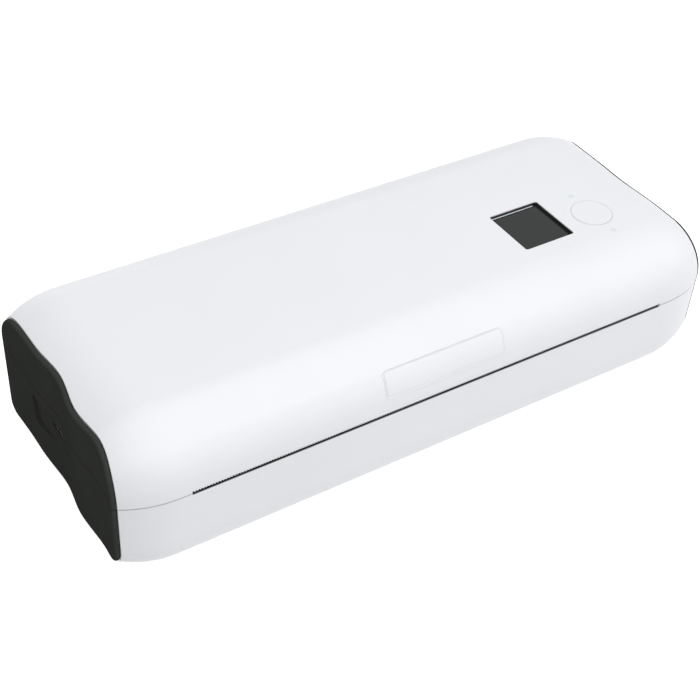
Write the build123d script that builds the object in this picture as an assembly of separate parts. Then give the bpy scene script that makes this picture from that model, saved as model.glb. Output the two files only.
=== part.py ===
from build123d import *
import os
from math import acos, ceil, cos, pi, radians, sin, sqrt, tan

# Portable thermal label printer with a lid that opens at the back.
# X runs along the length, the front with the paper slot faces -Y, and Z is up.
# The origin is on the table, under the middle of the printer and its hinge barrels.
# All sizes are in millimetres.

os.makedirs("parts", exist_ok=True)

# Outer body
length = 268.8
depth = 110.3
height = 64.6
parting_share = 0.6161
seam_gap = 0.4
wall = 2.2
lid_front_radius = 24.1
lid_back_radius = 20.1
base_front_radius = 18.1
base_back_radius = 11.8
end_rounding = 22.9
end_arc = 41.6
fit_gap = 0.3
running_gap = 0.05
cut_over = 1.0

# End caps: the outer face is a shallow wave, given as place from front to back and depth of the dip
cap_thickness = 2.1
cap_lip = 3.0
cap_lip_wall = 1.2
cap_lip_gap = 0.15
cap_edge_round = 0.9
wave_overrun = 0.6
face_wave = [(-0.425, 0.3), (-0.335, 1.7), (-0.145, 0.6), (0.0, 2.7), (0.15, 1.5), (0.27, 1.2), (0.41, 0.3)]

# Rubber feet
foot_radius = 5.0
foot_proud = 0.6
foot_recess = 1.0
foot_inset_x = 34.0
foot_inset_front = 26.0
foot_inset_back = 20.0

# Paper slot and tear bar
slot_inset = 27.4
slot_side_play = 1.5
slot_lift = 1.1
slot_bevel = 1.0
tooth_pitch = 1.11
tooth_depth = 0.9
tooth_cover = 0.15
tear_bar_thickness = 0.6
tear_bar_height = 3.4
tear_bar_setback = 0.9

# Hinge
barrel_radius = 3.2
hinge_offset = 1.2
hinge_pin_radius = 1.5
hinge_inset = 56.4
base_knuckle = 10.0
lid_knuckle = 20.0
knuckle_gap = 0.3

# Print mechanism
platen_radius = 5.0
platen_setback = 15.2
shaft_radius = 2.5
nip_height = 0.8
paper_gap = 0.1
bushing_radius = 4.0
carrier_thickness = 1.6
carrier_gap = 1.0
carrier_rim = 2.0
carrier_lift = 1.4
plate_gap = 0.5
shaft_proud = 0.6
side_plate = 1.5
frame_floor_drop = 9.0
frame_depth = 24.5
frame_setback = 4.6
frame_front_drop = 3.0
ear_wall = 2.2
ear_rise = 1.0
gear_gap = 1.3
head_ceramic = 1.0
head_sink = 3.0
head_front = 7.0
head_back = 6.0
head_rod_radius = 1.5
head_rod_back = 10.5
head_rod_drop = 2.0
head_spring_radius = 2.5
head_spring_wire = 0.8
head_spring_pitch = 60.0
head_lug_station = 84.0
head_lug_half = 3.0
head_lug_wall = 1.0
head_lug_back = 1.2
head_sink_gap = 0.8
head_spring_front = 3.0

# Gears
gear_module = 0.8
pressure_angle = 20.0
gear_backlash = 0.16
flank_points = 4
root_depth = 1.25
platen_teeth = 18
idler_teeth = 22
pinion_teeth = 12
gear_width = 4.0
idler_lean = 18.0
motor_lean = 35.0
idler_axle_radius = 1.5
motor_radius = 10.0
motor_length = 15.0
motor_shaft_radius = 1.0
motor_ear = 1.0
motor_back_wall = 2.0
motor_screw_inset = 2.0
motor_screw_depth = 3.0
motor_screw_head_radius = 2.0
motor_screw_head_height = 0.8

# Roll bay and the sliding roll guides
bay_front_room = 44.15
bay_back_room = 20.15
bay_floor = 8.3
trough_wall = 1.6
deck_drop = 1.2
sensor_place = 26.0
sensor_length = 8.0
sensor_width = 5.0
sensor_setback = 8.0
sensor_hang = 2.0
guide_thickness = 2.0
guide_disc_radius = 16.0
guide_hub_radius = 6.0
guide_hub_length = 9.0
guide_stem_width = 1.8
rack_module = 1.0
rack_teeth_gap = 0.2
rack_height = 2.6
rack_back_width = 2.6
guide_pinion_teeth = 12
guide_axle_radius = 1.5
guide_play = 0.4
guide_stem_gap = 0.35
guide_stem_length = 6.6
guide_stem_rise = 5.0
guide_foot_half = 12.0
guide_hub_wall = 1.5
guide_end_room = 21.0
rack_overlap = 9.0

# Power
cell_radius = 9.2
cell_length = 65.0
cell_count = 2
cell_gap = 1.0
cell_inset = 33.4
cell_setback = 17.3
cell_play = 0.2
holder_wall = 1.5
holder_drop = 1.0

# Circuit boards
board_thickness = 1.6
main_board_left_inset = 74.4
main_board_right_inset = 34.4
main_board_lift = 7.2
# The main board's parts: place as a share of its length, height above its lower edge, width, height, thickness
board_parts = [(0.15625, 6, 12, 12, 1.4), (0.40625, 8, 9, 9, 1.2), (0.7, 4, 16, 6, 3.6), (0.9, 5, 10, 8, 3.0)]
main_board_headroom = 3.0
main_board_back = 10.3
main_board_rail_inset = 20.0
rail_half = 2.0
rail_wall = 3.0
rail_grip = 4.0
usb_board_x = 17.0
usb_board_y = 30.0
usb_board_gap = 1.2
usb_port_length = 7.3
usb_port_width = 8.9
usb_port_height = 3.2
usb_port_wall = 0.3
usb_port_setback = 0.7
usb_tongue_width = 6.7
usb_tongue_thickness = 0.7
usb_tongue_setback = 0.8
usb_setback = 58.15
usb_centre_height = 31.0
usb_mouth_width = 10.8
usb_mouth_height = 3.6
usb_recess_floor = 2.6
usb_recess_outline = [(21.9, 3.0), (20.1, -11.0), (-9.8, -4.4), (-9.8, 3.0)]
usb_recess_corner = 2.0

# Display and power button on the lid
window_inset = 64.1
window_setback = 44.05
window_width = 24.4
window_length = 25.2
window_corner = 1.0
window_recess = 1.4
lens_thickness = 0.9
lens_border = 1.6
display_height = 4.3
display_margin = 0.8
display_gap = 0.2
lid_board_length = 68.0
lid_board_width = 40.0
lid_board_edge = 3.7
lid_board_overlap = 10.0
button_inset = 36.4
button_setback = 39.15
button_radius = 8.5
button_groove = 0.25
button_flange = 1.5
button_flange_thickness = 1.0
button_drop = 0.2
button_travel = 0.4
plunger_radius = 1.75
switch_size = 6.0
switch_height = 1.9
switch_floor = 0.3
light_offset = 13.5
light_radius = 1.0

# Latch
latch_width = 53.6
latch_low_angle = 15.9
latch_high_angle = 40.7
latch_corner = 2.0
latch_groove = 0.3
latch_flange = 1.5
latch_flange_gap = 0.25
latch_pusher_proud = 1.0
latch_arm_gap = 0.2
latch_arm_thickness = 1.6
latch_spring_length = 5.0
latch_spring_wire = 0.7
latch_flange_thickness = 1.0
latch_rod_radius = 1.5
latch_rod_back = 14.1
latch_rod_drop = 8.6
latch_pusher_width = 14.0
latch_pusher_height = 3.0
latch_arm_half = 8.0
hook_inset = 16.4
hook_width = 2.0
hook_nose = 3.5
hook_drop = 4.5
hook_thickness = 2.1
strike_thickness = 1.5
strike_room = 1.0

# Lid switch
cover_switch_inset = 16.5
cover_switch_setback = 41.15
cover_switch_half = (3.0, 2.0)
cover_switch_height = 5.0
switch_lever_half = (1.0, 0.6)
switch_lever_height = 1.0
switch_peg_half = 1.5
switch_peg_gap = 0.2

# Lid liner
liner_drop = 10.1
liner_thickness = 1.2
liner_front = 2.7
liner_screw_inset = 6.0
liner_screw_front = 7.0
liner_screw_back = 4.0
liner_screw_board_room = 12.0
liner_screw_length = 6.2
board_screw_inset = 4.0
case_screw_gap = 0.4
fore_screw_room = 3.3
case_screw_inset = 8.0
head_well_gap = 0.2
screw_radius = 1.25
screw_head_radius = 2.5
screw_head_height = 1.2
boss_radius = 3.2
thin_boss_radius = 2.5
screw_length = 7.5
screw_bite = 0.02

# Places worked out from the sizes above
half_length = length / 2
parting_height = height * parting_share
overall_depth = depth + hinge_offset + barrel_radius
front = -overall_depth / 2
back = front + depth
middle_y = (front + back) / 2
flat_half = half_length - end_rounding
lid_bottom = parting_height + seam_gap / 2
base_top = parting_height - seam_gap / 2
base_floor = foot_proud + wall
ceiling = height - wall
slot_half = half_length - slot_inset
hinge_station = half_length - hinge_inset
hook_station = half_length - hook_inset
window_x = half_length - window_inset
button_x = half_length - button_inset
lid_front_centre = (front + lid_front_radius, height - lid_front_radius)
lid_back_centre = (back - lid_back_radius, height - lid_back_radius)
base_back_centre = (back - base_back_radius, foot_proud + base_back_radius)
base_front_centre = (front + base_front_radius, foot_proud + base_front_radius)
hinge_axis = (back + hinge_offset, parting_height)
platen_axis = (front + platen_setback, parting_height + nip_height + platen_radius)
head_top = platen_axis[1] - platen_radius - paper_gap
head_sink_low = head_top - head_ceramic - head_sink
frame_floor = head_top - frame_floor_drop
frame_front = front + frame_setback
roller_half = slot_half - slot_side_play
carrier_in = roller_half + carrier_gap
carrier_out = carrier_in + carrier_thickness
plate_in = carrier_out + plate_gap
plate_out = plate_in + side_plate
gear_in = plate_out + gear_gap
gear_out = gear_in + gear_width
bay_radius = (depth - bay_front_room - bay_back_room) / 2
bay_axis = (front + bay_front_room + bay_radius, bay_floor + bay_radius)
deck_top = parting_height - deck_drop
deck_bottom = deck_top - trough_wall
rack_low = base_floor + guide_play
rod_axis = (front + latch_rod_back, height - latch_rod_drop)
latch_pusher_depth = wall + latch_flange_gap + latch_flange_thickness + latch_pusher_proud
liner_bottom = height - liner_drop
liner_top = liner_bottom + liner_thickness
head_rod_axis = (platen_axis[0] + head_rod_back, head_top - head_ceramic - head_sink - head_rod_drop)
board_top = height - window_recess - lens_thickness - display_height - display_gap
usb_place_y = front + usb_setback
cell_axis = (front + cell_setback, base_floor + holder_wall + cell_radius + cell_play)
window_y = front + window_setback
button_y = front + button_setback
button_under = ceiling - button_drop
cover_switch_place = (-half_length + cover_switch_inset, front + cover_switch_setback)
far = length
deepest_wave = max(dip for place, dip in face_wave)


def block(x, y, z):
    """Box from its low and high sides on each axis."""
    size = (x[1] - x[0], y[1] - y[0], z[1] - z[0])
    middle = ((x[0] + x[1]) / 2, (y[0] + y[1]) / 2, (z[0] + z[1]) / 2)
    return Pos(*middle) * Box(*size)


def rod_x(centre, radius, x):
    """Round bar along X about a (y, z) centre."""
    plane = Plane(origin=(x[0], centre[0], centre[1]), x_dir=(0, 1, 0), z_dir=(1, 0, 0))
    return extrude(plane * Circle(radius), x[1] - x[0])


def rod_z(centre, radius, z):
    """Round bar along Z about an (x, y) centre."""
    return extrude(Pos(centre[0], centre[1], z[0]) * Circle(radius), z[1] - z[0])


def plate_x(outline, x):
    """Plate of a (y, z) outline, from one X to another."""
    plane = Plane(origin=(x[0], 0, 0), x_dir=(0, 1, 0), z_dir=(1, 0, 0))
    return extrude(plane * make_face(Polyline(*outline, close=True)), x[1] - x[0])


def end_profile(plane, reach, inset):
    """Long outline that is flat in the middle and curves in at both ends by the end arc."""
    radius = end_arc - inset
    drop = radius - sqrt(radius**2 - end_rounding**2)
    top = reach - inset
    low = top - drop
    edges = [
        Line((-half_length, 0), (half_length, 0)),
        Line((half_length, 0), (half_length, low)),
        RadiusArc((half_length, low), (flat_half, top), -radius),
        Line((flat_half, top), (-flat_half, top)),
        RadiusArc((-flat_half, top), (-half_length, low), -radius),
        Line((-half_length, low), (-half_length, 0)),
    ]
    return plane * make_face(edges)


def side_slab(centre, outward, reach, inset, run):
    """One flat side of the body: the end profile drawn outward and run along the side."""
    normal = Vector(1, 0, 0).cross(Vector(*outward))
    plane = Plane(origin=centre, x_dir=(1, 0, 0), z_dir=normal)
    return extrude(end_profile(plane, reach, inset), run)


def corner_bar(centre, start, radius, inset):
    """One long rounded corner: the end profile turned a quarter about the corner's own axis."""
    middle = (0, centre[0], centre[1])
    normal = Vector(1, 0, 0).cross(Vector(*start))
    plane = Plane(origin=middle, x_dir=(1, 0, 0), z_dir=normal)
    return revolve(end_profile(plane, radius, inset), Axis(middle, (1, 0, 0)), 90)


def body_form(inset):
    """The printer's pillow shape as a solid, with every outer face moved in by the inset."""
    middle = (base_front_centre[1] + height - lid_back_radius) / 2
    up, down, ahead, behind = (0, 0, 1), (0, 0, -1), (0, -1, 0), (0, 1, 0)
    top_run = lid_back_centre[0] - lid_front_centre[0]
    low_run = base_back_centre[0] - base_front_centre[0]
    front_run = lid_front_centre[1] - base_front_centre[1]
    back_run = lid_back_centre[1] - base_back_centre[1]
    pieces = [
        side_slab((0, lid_back_centre[0], middle), up, height - middle, inset, top_run),
        side_slab((0, base_front_centre[0], middle), down, middle - foot_proud, inset, low_run),
        side_slab((0, middle_y, lid_front_centre[1]), ahead, depth / 2, inset, front_run),
        side_slab((0, middle_y, base_back_centre[1]), behind, depth / 2, inset, back_run),
        corner_bar(lid_front_centre, up, lid_front_radius, inset),
        corner_bar(lid_back_centre, behind, lid_back_radius, inset),
        corner_bar(base_back_centre, down, base_back_radius, inset),
        corner_bar(base_front_centre, ahead, base_front_radius, inset),
    ]
    return pieces[0].fuse(*pieces[1:]).clean()


def end_curve(side, inset):
    """The wavy end face seen from above, moved in by the inset."""
    waves = [
        (side * (half_length - inset - dip), middle_y + place * depth) for place, dip in face_wave
    ]
    first = (side * (half_length - inset), middle_y - wave_overrun * depth)
    last = (side * (half_length - inset), middle_y + wave_overrun * depth)
    return Spline(first, *waves, last)


def between_ends(inset):
    """Everything between the two wavy end faces, moved in by the inset."""
    left = end_curve(-1, inset)
    right = end_curve(1, inset)
    outline = [left, Line(left @ 1, right @ 1), right, Line(right @ 0, left @ 0)]
    return extrude(make_face(outline), far)


def above(z):
    return block((-far, far), (-far, far), (z, far))


def below(z):
    return block((-far, far), (-far, far), (-far, z))


outer = body_form(0)
hollow = body_form(wall)
inside = body_form(wall + fit_gap)
between_caps = between_ends(cap_thickness)
between_faces = between_ends(0)


def save(shape, name):
    export_step(shape, f"parts/{name}.step")


def group(solids):
    return Compound(children=list(solids))


def hinge_rod(radius, x):
    return rod_x(hinge_axis, radius, x)


def knuckle_spans(side):
    """X spans of the three hinge knuckles at one station: base, lid, base."""
    middle = side * hinge_station
    half = lid_knuckle / 2
    outer_half = half + knuckle_gap + base_knuckle
    return [
        (middle - outer_half, middle - half - knuckle_gap),
        (middle - half, middle + half),
        (middle + half + knuckle_gap, middle + outer_half),
    ]


def latch_frame():
    """Plane on the latch button's middle, with its normal pointing out of the lid."""
    angle = radians((latch_low_angle + latch_high_angle) / 2)
    normal = Vector(0, -cos(angle), sin(angle))
    centre = Vector(0, *lid_front_centre) + normal * lid_front_radius
    return Plane(origin=centre, x_dir=(1, 0, 0), z_dir=normal)


def latch_height():
    return 2 * lid_front_radius * sin(radians(latch_high_angle - latch_low_angle) / 2)


def latch_prism(extra):
    """Rounded bar square to the latch button, larger than the button by extra on every side."""
    corner = latch_corner + extra
    outline = RectangleRounded(latch_width + 2 * extra, latch_height() + 2 * extra, corner)
    return extrude(latch_frame() * outline, lid_front_radius / 2, both=True)


def lid_shell():
    shell = (outer - hollow) & between_caps & above(lid_bottom)
    slot_x = (-slot_half, slot_half)
    lip_bottom = parting_height + slot_lift
    shell -= block(slot_x, (front - cut_over, front + 2 * wall), (0, lip_bottom))
    rebate_y = (front + tear_bar_setback, front + 3 * wall)
    shell -= block(slot_x, rebate_y, (parting_height, lip_bottom + tear_bar_height))
    shell -= latch_prism(0)
    through = (ceiling - cut_over, height + cut_over)
    window = Pos(window_x, window_y, through[0])
    shell -= extrude(window * window_outline(0), through[1] - through[0])
    shell -= extrude(window * window_outline(lens_border), height - window_recess - through[0])
    shell -= rod_z((button_x, button_y), button_radius + button_groove, through)
    for y in light_places():
        shell -= rod_z((button_x, y), light_radius + running_gap, through)
    for side in (-1, 1):
        base_left, lid_middle, base_right = knuckle_spans(side)
        shell += hinge_rod(barrel_radius, lid_middle)
        for span in (base_left, base_right):
            shell -= hinge_rod(barrel_radius + seam_gap, wider(span, knuckle_gap))
        shell -= hinge_rod(hinge_pin_radius + running_gap, wider(lid_middle, knuckle_gap))
    for place in liner_screw_places():
        shell += lid_post(place, boss_radius, liner_top)
    for place in board_screw_places():
        shell += lid_post(place, thin_boss_radius, board_top + running_gap)
    return shell


def wider(span, extra):
    return span[0] - extra, span[1] + extra


def lid_post(place, radius, low):
    """Hanging post with a screw hole in its lower end."""
    post = rod_z(place, radius, (low, ceiling + wall / 2))
    return post - rod_z(place, screw_radius + running_gap, (low - cut_over, ceiling))


def window_outline(border):
    return RectangleRounded(window_width + 2 * border, window_length + 2 * border, window_corner)


def light_places():
    return (button_y + light_offset, button_y - light_offset)


def liner_screw_places():
    side = flat_half - liner_screw_inset
    fore = lid_front_centre[0] + liner_screw_front
    rear = lid_back_centre[0] - liner_screw_back
    beside_board = lid_board_span()[0][0] - liner_screw_board_room
    return [(-side, fore), (-side, rear), (side, rear), (beside_board, fore)]


def board_screw_places():
    low, high = lid_board_span()
    x = low[0] + board_screw_inset
    return [(x, high[1] - board_screw_inset), (x, low[1] + board_screw_inset)]


def lid_board_span():
    """Lower and upper corner (x, y) of the board under the display and the power button."""
    low_x = window_x - window_width / 2 - lid_board_overlap
    low_y = button_y - light_offset - lid_board_edge
    return (low_x, low_y), (low_x + lid_board_length, low_y + lid_board_width)


def base_shell():
    shell = (outer - hollow) & between_caps & below(base_top)
    bevel = [
        (front - cut_over, base_top + cut_over),
        (front - cut_over, base_top - slot_bevel - cut_over),
        (front + slot_bevel + cut_over, base_top + cut_over),
    ]
    shell -= plate_x(bevel, (-slot_half, slot_half))
    for place in foot_places():
        shell -= rod_z(place, foot_radius + running_gap, (0, foot_proud + foot_recess))
    for side in (-1, 1):
        base_left, lid_middle, base_right = knuckle_spans(side)
        shell -= hinge_rod(barrel_radius + seam_gap, wider(lid_middle, knuckle_gap))
        for span in (base_left, base_right):
            shell += hinge_rod(barrel_radius, span)
            shell -= hinge_rod(hinge_pin_radius + running_gap, wider(span, knuckle_gap / 2))
    for place in case_screw_places():
        shell -= rod_z(place, screw_head_radius + head_well_gap, (0, foot_proud + screw_head_height))
        shell -= rod_z(place, screw_radius + head_well_gap, (0, base_floor + cut_over))
    into_floor = base_floor - wall / 4
    for x in main_board_rails():
        y = back - main_board_back
        rail_y = (y - rail_wall, y + board_thickness + rail_wall)
        rail = block((x - rail_half, x + rail_half), rail_y, (into_floor, main_board_low() + rail_grip))
        shell += (rail & hollow) - main_board_solid(running_gap)
    for place in usb_post_places():
        shell += rod_z(place, thin_boss_radius, (into_floor, usb_board_top() - board_thickness))
    return shell


def foot_places():
    x = half_length - foot_inset_x
    return [(sx * x, y) for sx in (-1, 1) for y in (front + foot_inset_front, back - foot_inset_back)]


def case_screw_places():
    from_axis = bay_radius + trough_wall + boss_radius
    rear = bay_axis[0] + from_axis + case_screw_gap
    fore = bay_axis[0] - from_axis - case_screw_gap - fore_screw_room
    x = hinge_station - case_screw_inset
    return [(side * x, y) for side in (-1, 1) for y in (fore, rear)]


def main_board_low():
    return base_floor + main_board_lift


def main_board_x():
    return -half_length + main_board_left_inset, half_length - main_board_right_inset


def main_board_rails():
    left, right = main_board_x()
    return left + main_board_rail_inset, right - main_board_rail_inset


def main_board_solid(extra=0.0):
    """Upright board at the back; with an extra it is the groove that holds it."""
    y = back - main_board_back
    low = main_board_low() - extra
    return block(main_board_x(), (y - extra, y + board_thickness + extra), (low, deck_bottom - main_board_headroom))


def usb_board_top():
    return usb_centre_height - usb_port_height / 2


def usb_board_left():
    """Outer edge of the small connector board, just inside the left end cap."""
    return -half_length + deepest_wave + cap_thickness + cap_lip_wall + usb_board_gap


def usb_post_places():
    x = usb_board_left() + usb_board_x - board_screw_inset
    reach = usb_board_y / 2 - board_screw_inset
    return [(x, usb_place_y - reach), (x, usb_place_y + reach)]


def end_cap(side):
    """Whole dark cap of one end, before it is parted at the lid: a wavy plate with a locating lip."""
    end_half = block(sorted((0, side * far)), (-far, far), (-far, far))
    cap = ((outer & between_faces) - between_caps) & end_half
    end_face = cap.faces().sort_by(Axis.X)[-1 if side > 0 else 0]
    cap = fillet(end_face.edges(), cap_edge_round)
    lip_inset = wall + cap_lip_gap
    lip = (body_form(lip_inset) - body_form(lip_inset + cap_lip_wall)) & between_caps
    lip &= end_half - between_ends(cap_thickness + cap_lip)
    return cap + lip


def usb_plane(x):
    """Plane on the charging socket's axis, at an X, looking inward."""
    return Plane(origin=(x, usb_place_y, usb_centre_height), x_dir=(0, 1, 0), z_dir=(1, 0, 0))


def usb_opening():
    """Slot through the left cap and its lip for the charging plug."""
    plane = usb_plane(-half_length)
    through = deepest_wave + cap_thickness + cap_lip + cap_lip_wall
    return extrude(plane * SlotOverall(usb_mouth_width, usb_mouth_height), through)


def usb_recess():
    """Flat-floored recess around the socket, which runs out where the wavy face dips to its floor."""
    outline = make_face(Polyline(*usb_recess_outline, close=True))
    outline = fillet(outline.vertices(), usb_recess_corner)
    return extrude(usb_plane(-half_length) * outline, usb_recess_floor)



def tear_bar():
    """Thin steel strip behind the lid's lip, with a row of small teeth along its lower edge."""
    root = parting_height + slot_lift + tooth_cover
    tip = root - tooth_depth
    top = parting_height + slot_lift + tear_bar_height
    count = int(2 * slot_half / tooth_pitch)
    start = -count * tooth_pitch / 2
    outline = [(start, top), (start, root)]
    for tooth in range(count):
        outline.append((start + (tooth + 0.5) * tooth_pitch, tip))
        outline.append((start + (tooth + 1) * tooth_pitch, root))
    outline.append((-start, top))
    y = front + tear_bar_setback + tear_bar_thickness
    plane = Plane(origin=(0, y, 0), x_dir=(1, 0, 0), z_dir=(0, -1, 0))
    return extrude(plane * make_face(Polyline(*outline, close=True)), tear_bar_thickness)


def latch_ring(outer_cut, inner_cut):
    """Curved strip that follows the lid's front corner, between two depths below its surface."""
    x = (-latch_width, latch_width)
    ring = rod_x(lid_front_centre, lid_front_radius - outer_cut, x)
    return ring - rod_x(lid_front_centre, lid_front_radius - inner_cut, x)


def latch_button():
    """Curved press panel with a flange behind the lid's opening and a pusher for the latch bar."""
    under = wall + latch_flange_gap
    panel = latch_ring(0, under) & latch_prism(-latch_groove)
    flange = latch_ring(under, under + latch_flange_thickness) & latch_prism(latch_flange)
    outline = Rectangle(latch_pusher_width, latch_pusher_height)
    pusher = extrude(latch_frame().offset(-latch_pusher_depth) * outline, latch_pusher_depth - under)
    return panel + flange + pusher


def latch_touch_point():
    """Where the pusher meets the arm of the latch bar, as (y, z)."""
    point = latch_frame().origin - latch_frame().z_dir * (latch_pusher_depth + latch_arm_gap)
    return point.Y, point.Z


def latch_bar():
    """Rod across the lid with a short arm behind the press panel and a hook at each end."""
    half = hook_station + hook_width / 2
    bar = rod_x(rod_axis, latch_rod_radius, (-half, half))
    y, z = latch_touch_point()
    inward = latch_frame().z_dir * -latch_arm_thickness
    along = latch_frame().y_dir * (latch_pusher_height / 2)
    arm = [
        (rod_axis[0] - latch_rod_radius, rod_axis[1]),
        (y + along.Y, z + along.Z),
        (y - along.Y, z - along.Z),
        (y + inward.Y - along.Y, z + inward.Z - along.Z),
        (rod_axis[0], rod_axis[1] - latch_rod_radius),
    ]
    bar += plate_x(arm, (-latch_arm_half, latch_arm_half))
    nose = nose_top()
    low = nose - hook_thickness
    fore = rod_axis[0] - latch_rod_radius
    rear = rod_axis[0] + latch_rod_radius
    tip = fore - hook_nose
    hook = [
        (fore, rod_axis[1]),
        (fore, nose),
        (tip, nose),
        (tip, nose - hook_thickness / 2),
        (fore - hook_thickness / 2, low),
        (rear, low),
        (rear, rod_axis[1]),
    ]
    for side in (-1, 1):
        middle = side * hook_station
        bar += plate_x(hook, (middle - hook_width / 2, middle + hook_width / 2))
    return bar


def nose_top():
    return parting_height - hook_drop


def latch_strike(side):
    """Steel catch plate on the base's front wall that the hook's nose sits under."""
    middle = side * hook_station
    low = nose_top() + latch_arm_gap
    rear = rod_axis[0] - latch_rod_radius - strike_room
    half = hook_width / 2 + strike_thickness
    x = (middle - half, middle + half)
    return block(x, (front, rear), (low, low + strike_thickness)) & hollow


def latch_spring(side):
    """Torsion spring around the latch bar, beside the roller's bracket, as a sleeve."""
    near = carrier_in - latch_arm_gap
    x = sorted((side * near, side * (near - latch_spring_length)))
    inner = latch_rod_radius + fit_gap
    return rod_x(rod_axis, inner + latch_spring_wire, x) - rod_x(rod_axis, inner, x)


def platen_carrier(side):
    """Bracket inside the lid that holds the roller's bushing and the latch bar."""
    x = sorted((side * carrier_in, side * carrier_out))
    half = bushing_radius + carrier_rim
    low = lid_bottom + carrier_lift
    plate = block(x, (platen_axis[0] - half, platen_axis[0] + half), (low, height)) & hollow
    plate -= rod_x(platen_axis, bushing_radius, x)
    return plate - rod_x(rod_axis, latch_rod_radius + running_gap, x)


def platen_bushing(side):
    x = sorted((side * carrier_in, side * plate_out))
    return rod_x(platen_axis, bushing_radius, x) - rod_x(platen_axis, shaft_radius + running_gap, x)


def platen_roller():
    x = (-roller_half, roller_half)
    return rod_x(platen_axis, platen_radius, x) - rod_x(platen_axis, shaft_radius, x)


def platen_shaft():
    return rod_x(platen_axis, shaft_radius, (-plate_out - shaft_proud, gear_out + shaft_proud))


def involute(angle):
    return tan(angle) - angle


def gear(teeth, module, turn, thinning):
    """Flat spur gear outline about the origin; turn is the angle of one tooth's middle in degrees."""
    pitch = module * teeth / 2
    base = pitch * cos(radians(pressure_angle))
    tip = pitch + module
    root = pitch - root_depth * module
    half_tooth = (pi * module / 2 - thinning) / (2 * pitch)
    start = max(base, root)
    flank = []
    for step in range(flank_points):
        radius = start + (tip - start) * step / (flank_points - 1)
        angle = half_tooth + involute(radians(pressure_angle)) - involute(acos(min(1, base / radius)))
        flank.append((radius, angle))
    flank.insert(0, (root, flank[0][1]))
    points = []
    for tooth in range(teeth):
        middle = radians(turn) + 2 * pi * tooth / teeth
        points += [(r * cos(middle - a), r * sin(middle - a)) for r, a in flank]
        points += [(r * cos(middle + a), r * sin(middle + a)) for r, a in reversed(flank)]
    return make_face(Polyline(*points, close=True))


def mesh_turn(teeth, contact, other_teeth, other_turn):
    """Turn of a gear so that it meshes with another; contact is the angle from the other to it."""
    other_pitch = 360 / other_teeth
    share = ((contact - other_turn) / other_pitch) % 1
    return contact + 180 - (0.5 - share) * 360 / teeth


def from_above(start, distance, lean):
    """Point at a distance below a (y, z) start, leaning back from straight down by an angle."""
    return (start[0] + distance * sin(radians(lean)), start[1] - distance * cos(radians(lean)))


idler_axis = from_above(platen_axis, gear_module * (platen_teeth + idler_teeth) / 2, idler_lean)
motor_axis = from_above(idler_axis, gear_module * (idler_teeth + pinion_teeth) / 2, motor_lean)
idler_contact = idler_lean - 90
motor_contact = motor_lean - 90
idler_turn = mesh_turn(idler_teeth, idler_contact, platen_teeth, idler_contact)
motor_turn = mesh_turn(pinion_teeth, motor_contact, idler_teeth, idler_turn)


def gear_x(centre, teeth, turn, bore, x):
    plane = Plane(origin=(x[0], centre[0], centre[1]), x_dir=(0, 1, 0), z_dir=(1, 0, 0))
    body = extrude(plane * gear(teeth, gear_module, turn, gear_backlash / 2), x[1] - x[0])
    return body - rod_x(centre, bore, x)


def side_plate_ears(x):
    """End of the print frame with the open notch that the roller's bushing drops into."""
    notch = bushing_radius + guide_play
    half = notch + ear_wall
    y, z = platen_axis
    rear = frame_front + frame_depth
    outline = [
        (frame_front, frame_floor - side_plate),
        (frame_front, head_top - frame_front_drop),
        (y - half, z - side_plate),
        (y - half, z + ear_rise),
        (y + half, z + ear_rise),
        (y + half, z - side_plate),
        (rear, head_top - frame_front_drop),
        (rear, frame_floor - side_plate),
    ]
    ears = plate_x(outline, x) - rod_x(platen_axis, notch, x)
    flare_z = z + 2 * ear_rise
    flare = [(y - notch, z), (y - half, flare_z), (y + half, flare_z), (y + notch, z)]
    return ears - plate_x(flare, x)


def mechanism_frame():
    """Folded steel channel across the base, with a side plate at each end."""
    rear = frame_front + frame_depth
    span = (-plate_in, plate_in)
    front_top = head_top - frame_front_drop
    rear_top = head_rod_axis[1] - head_rod_radius - head_lug_wall - fit_gap
    frame = block(span, (frame_front, rear), (frame_floor - side_plate, frame_floor))
    frame += block(span, (frame_front, frame_front + side_plate), (frame_floor, front_top))
    frame += block(span, (rear - side_plate, rear), (frame_floor, rear_top))
    frame += side_plate_ears((-plate_out, -plate_in))
    frame += side_plate_ears((plate_in, plate_out))
    tab_half = motor_radius + motor_ear
    tab_y = (motor_axis[0] - tab_half, motor_axis[0] + tab_half)
    frame += block((plate_in, plate_out), tab_y, (motor_axis[1] - motor_radius, frame_floor))
    frame -= rod_x(motor_axis, 3 * motor_shaft_radius, (plate_in, plate_out))
    frame -= rod_x(idler_axis, idler_axle_radius, (plate_in, plate_out))
    frame -= rod_x(head_rod_axis, head_rod_radius, (-plate_out, plate_out))
    for place in motor_screw_places():
        frame -= rod_x(place, screw_radius, (plate_in, plate_out))
    return frame


def motor_screw_places():
    reach = motor_radius - motor_screw_inset
    return [(motor_axis[0] - reach, motor_axis[1]), (motor_axis[0] + reach, motor_axis[1])]


def drive_motor():
    x = (plate_in - motor_length, plate_in)
    body = rod_x(motor_axis, motor_radius, x)
    body -= rod_x(motor_axis, motor_shaft_radius + running_gap, (x[0] + motor_back_wall, x[1]))
    for place in motor_screw_places():
        body -= rod_x(place, screw_radius, (x[1] - motor_screw_depth, x[1]))
    return body


def motor_shaft():
    start = plate_in - motor_length + motor_back_wall + 2 * running_gap
    return rod_x(motor_axis, motor_shaft_radius, (start, gear_out))


def motor_screw(place):
    shank = rod_x(place, screw_radius, (plate_in - motor_screw_depth, plate_out))
    head_x = (plate_out, plate_out + motor_screw_head_height)
    return shank + rod_x(place, motor_screw_head_radius, head_x)


def print_head():
    """Ceramic strip that the roller presses the labels against."""
    y = (platen_axis[0] - head_front, platen_axis[0] + head_back)
    return block((-roller_half, roller_half), y, (head_top - head_ceramic, head_top))


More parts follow.
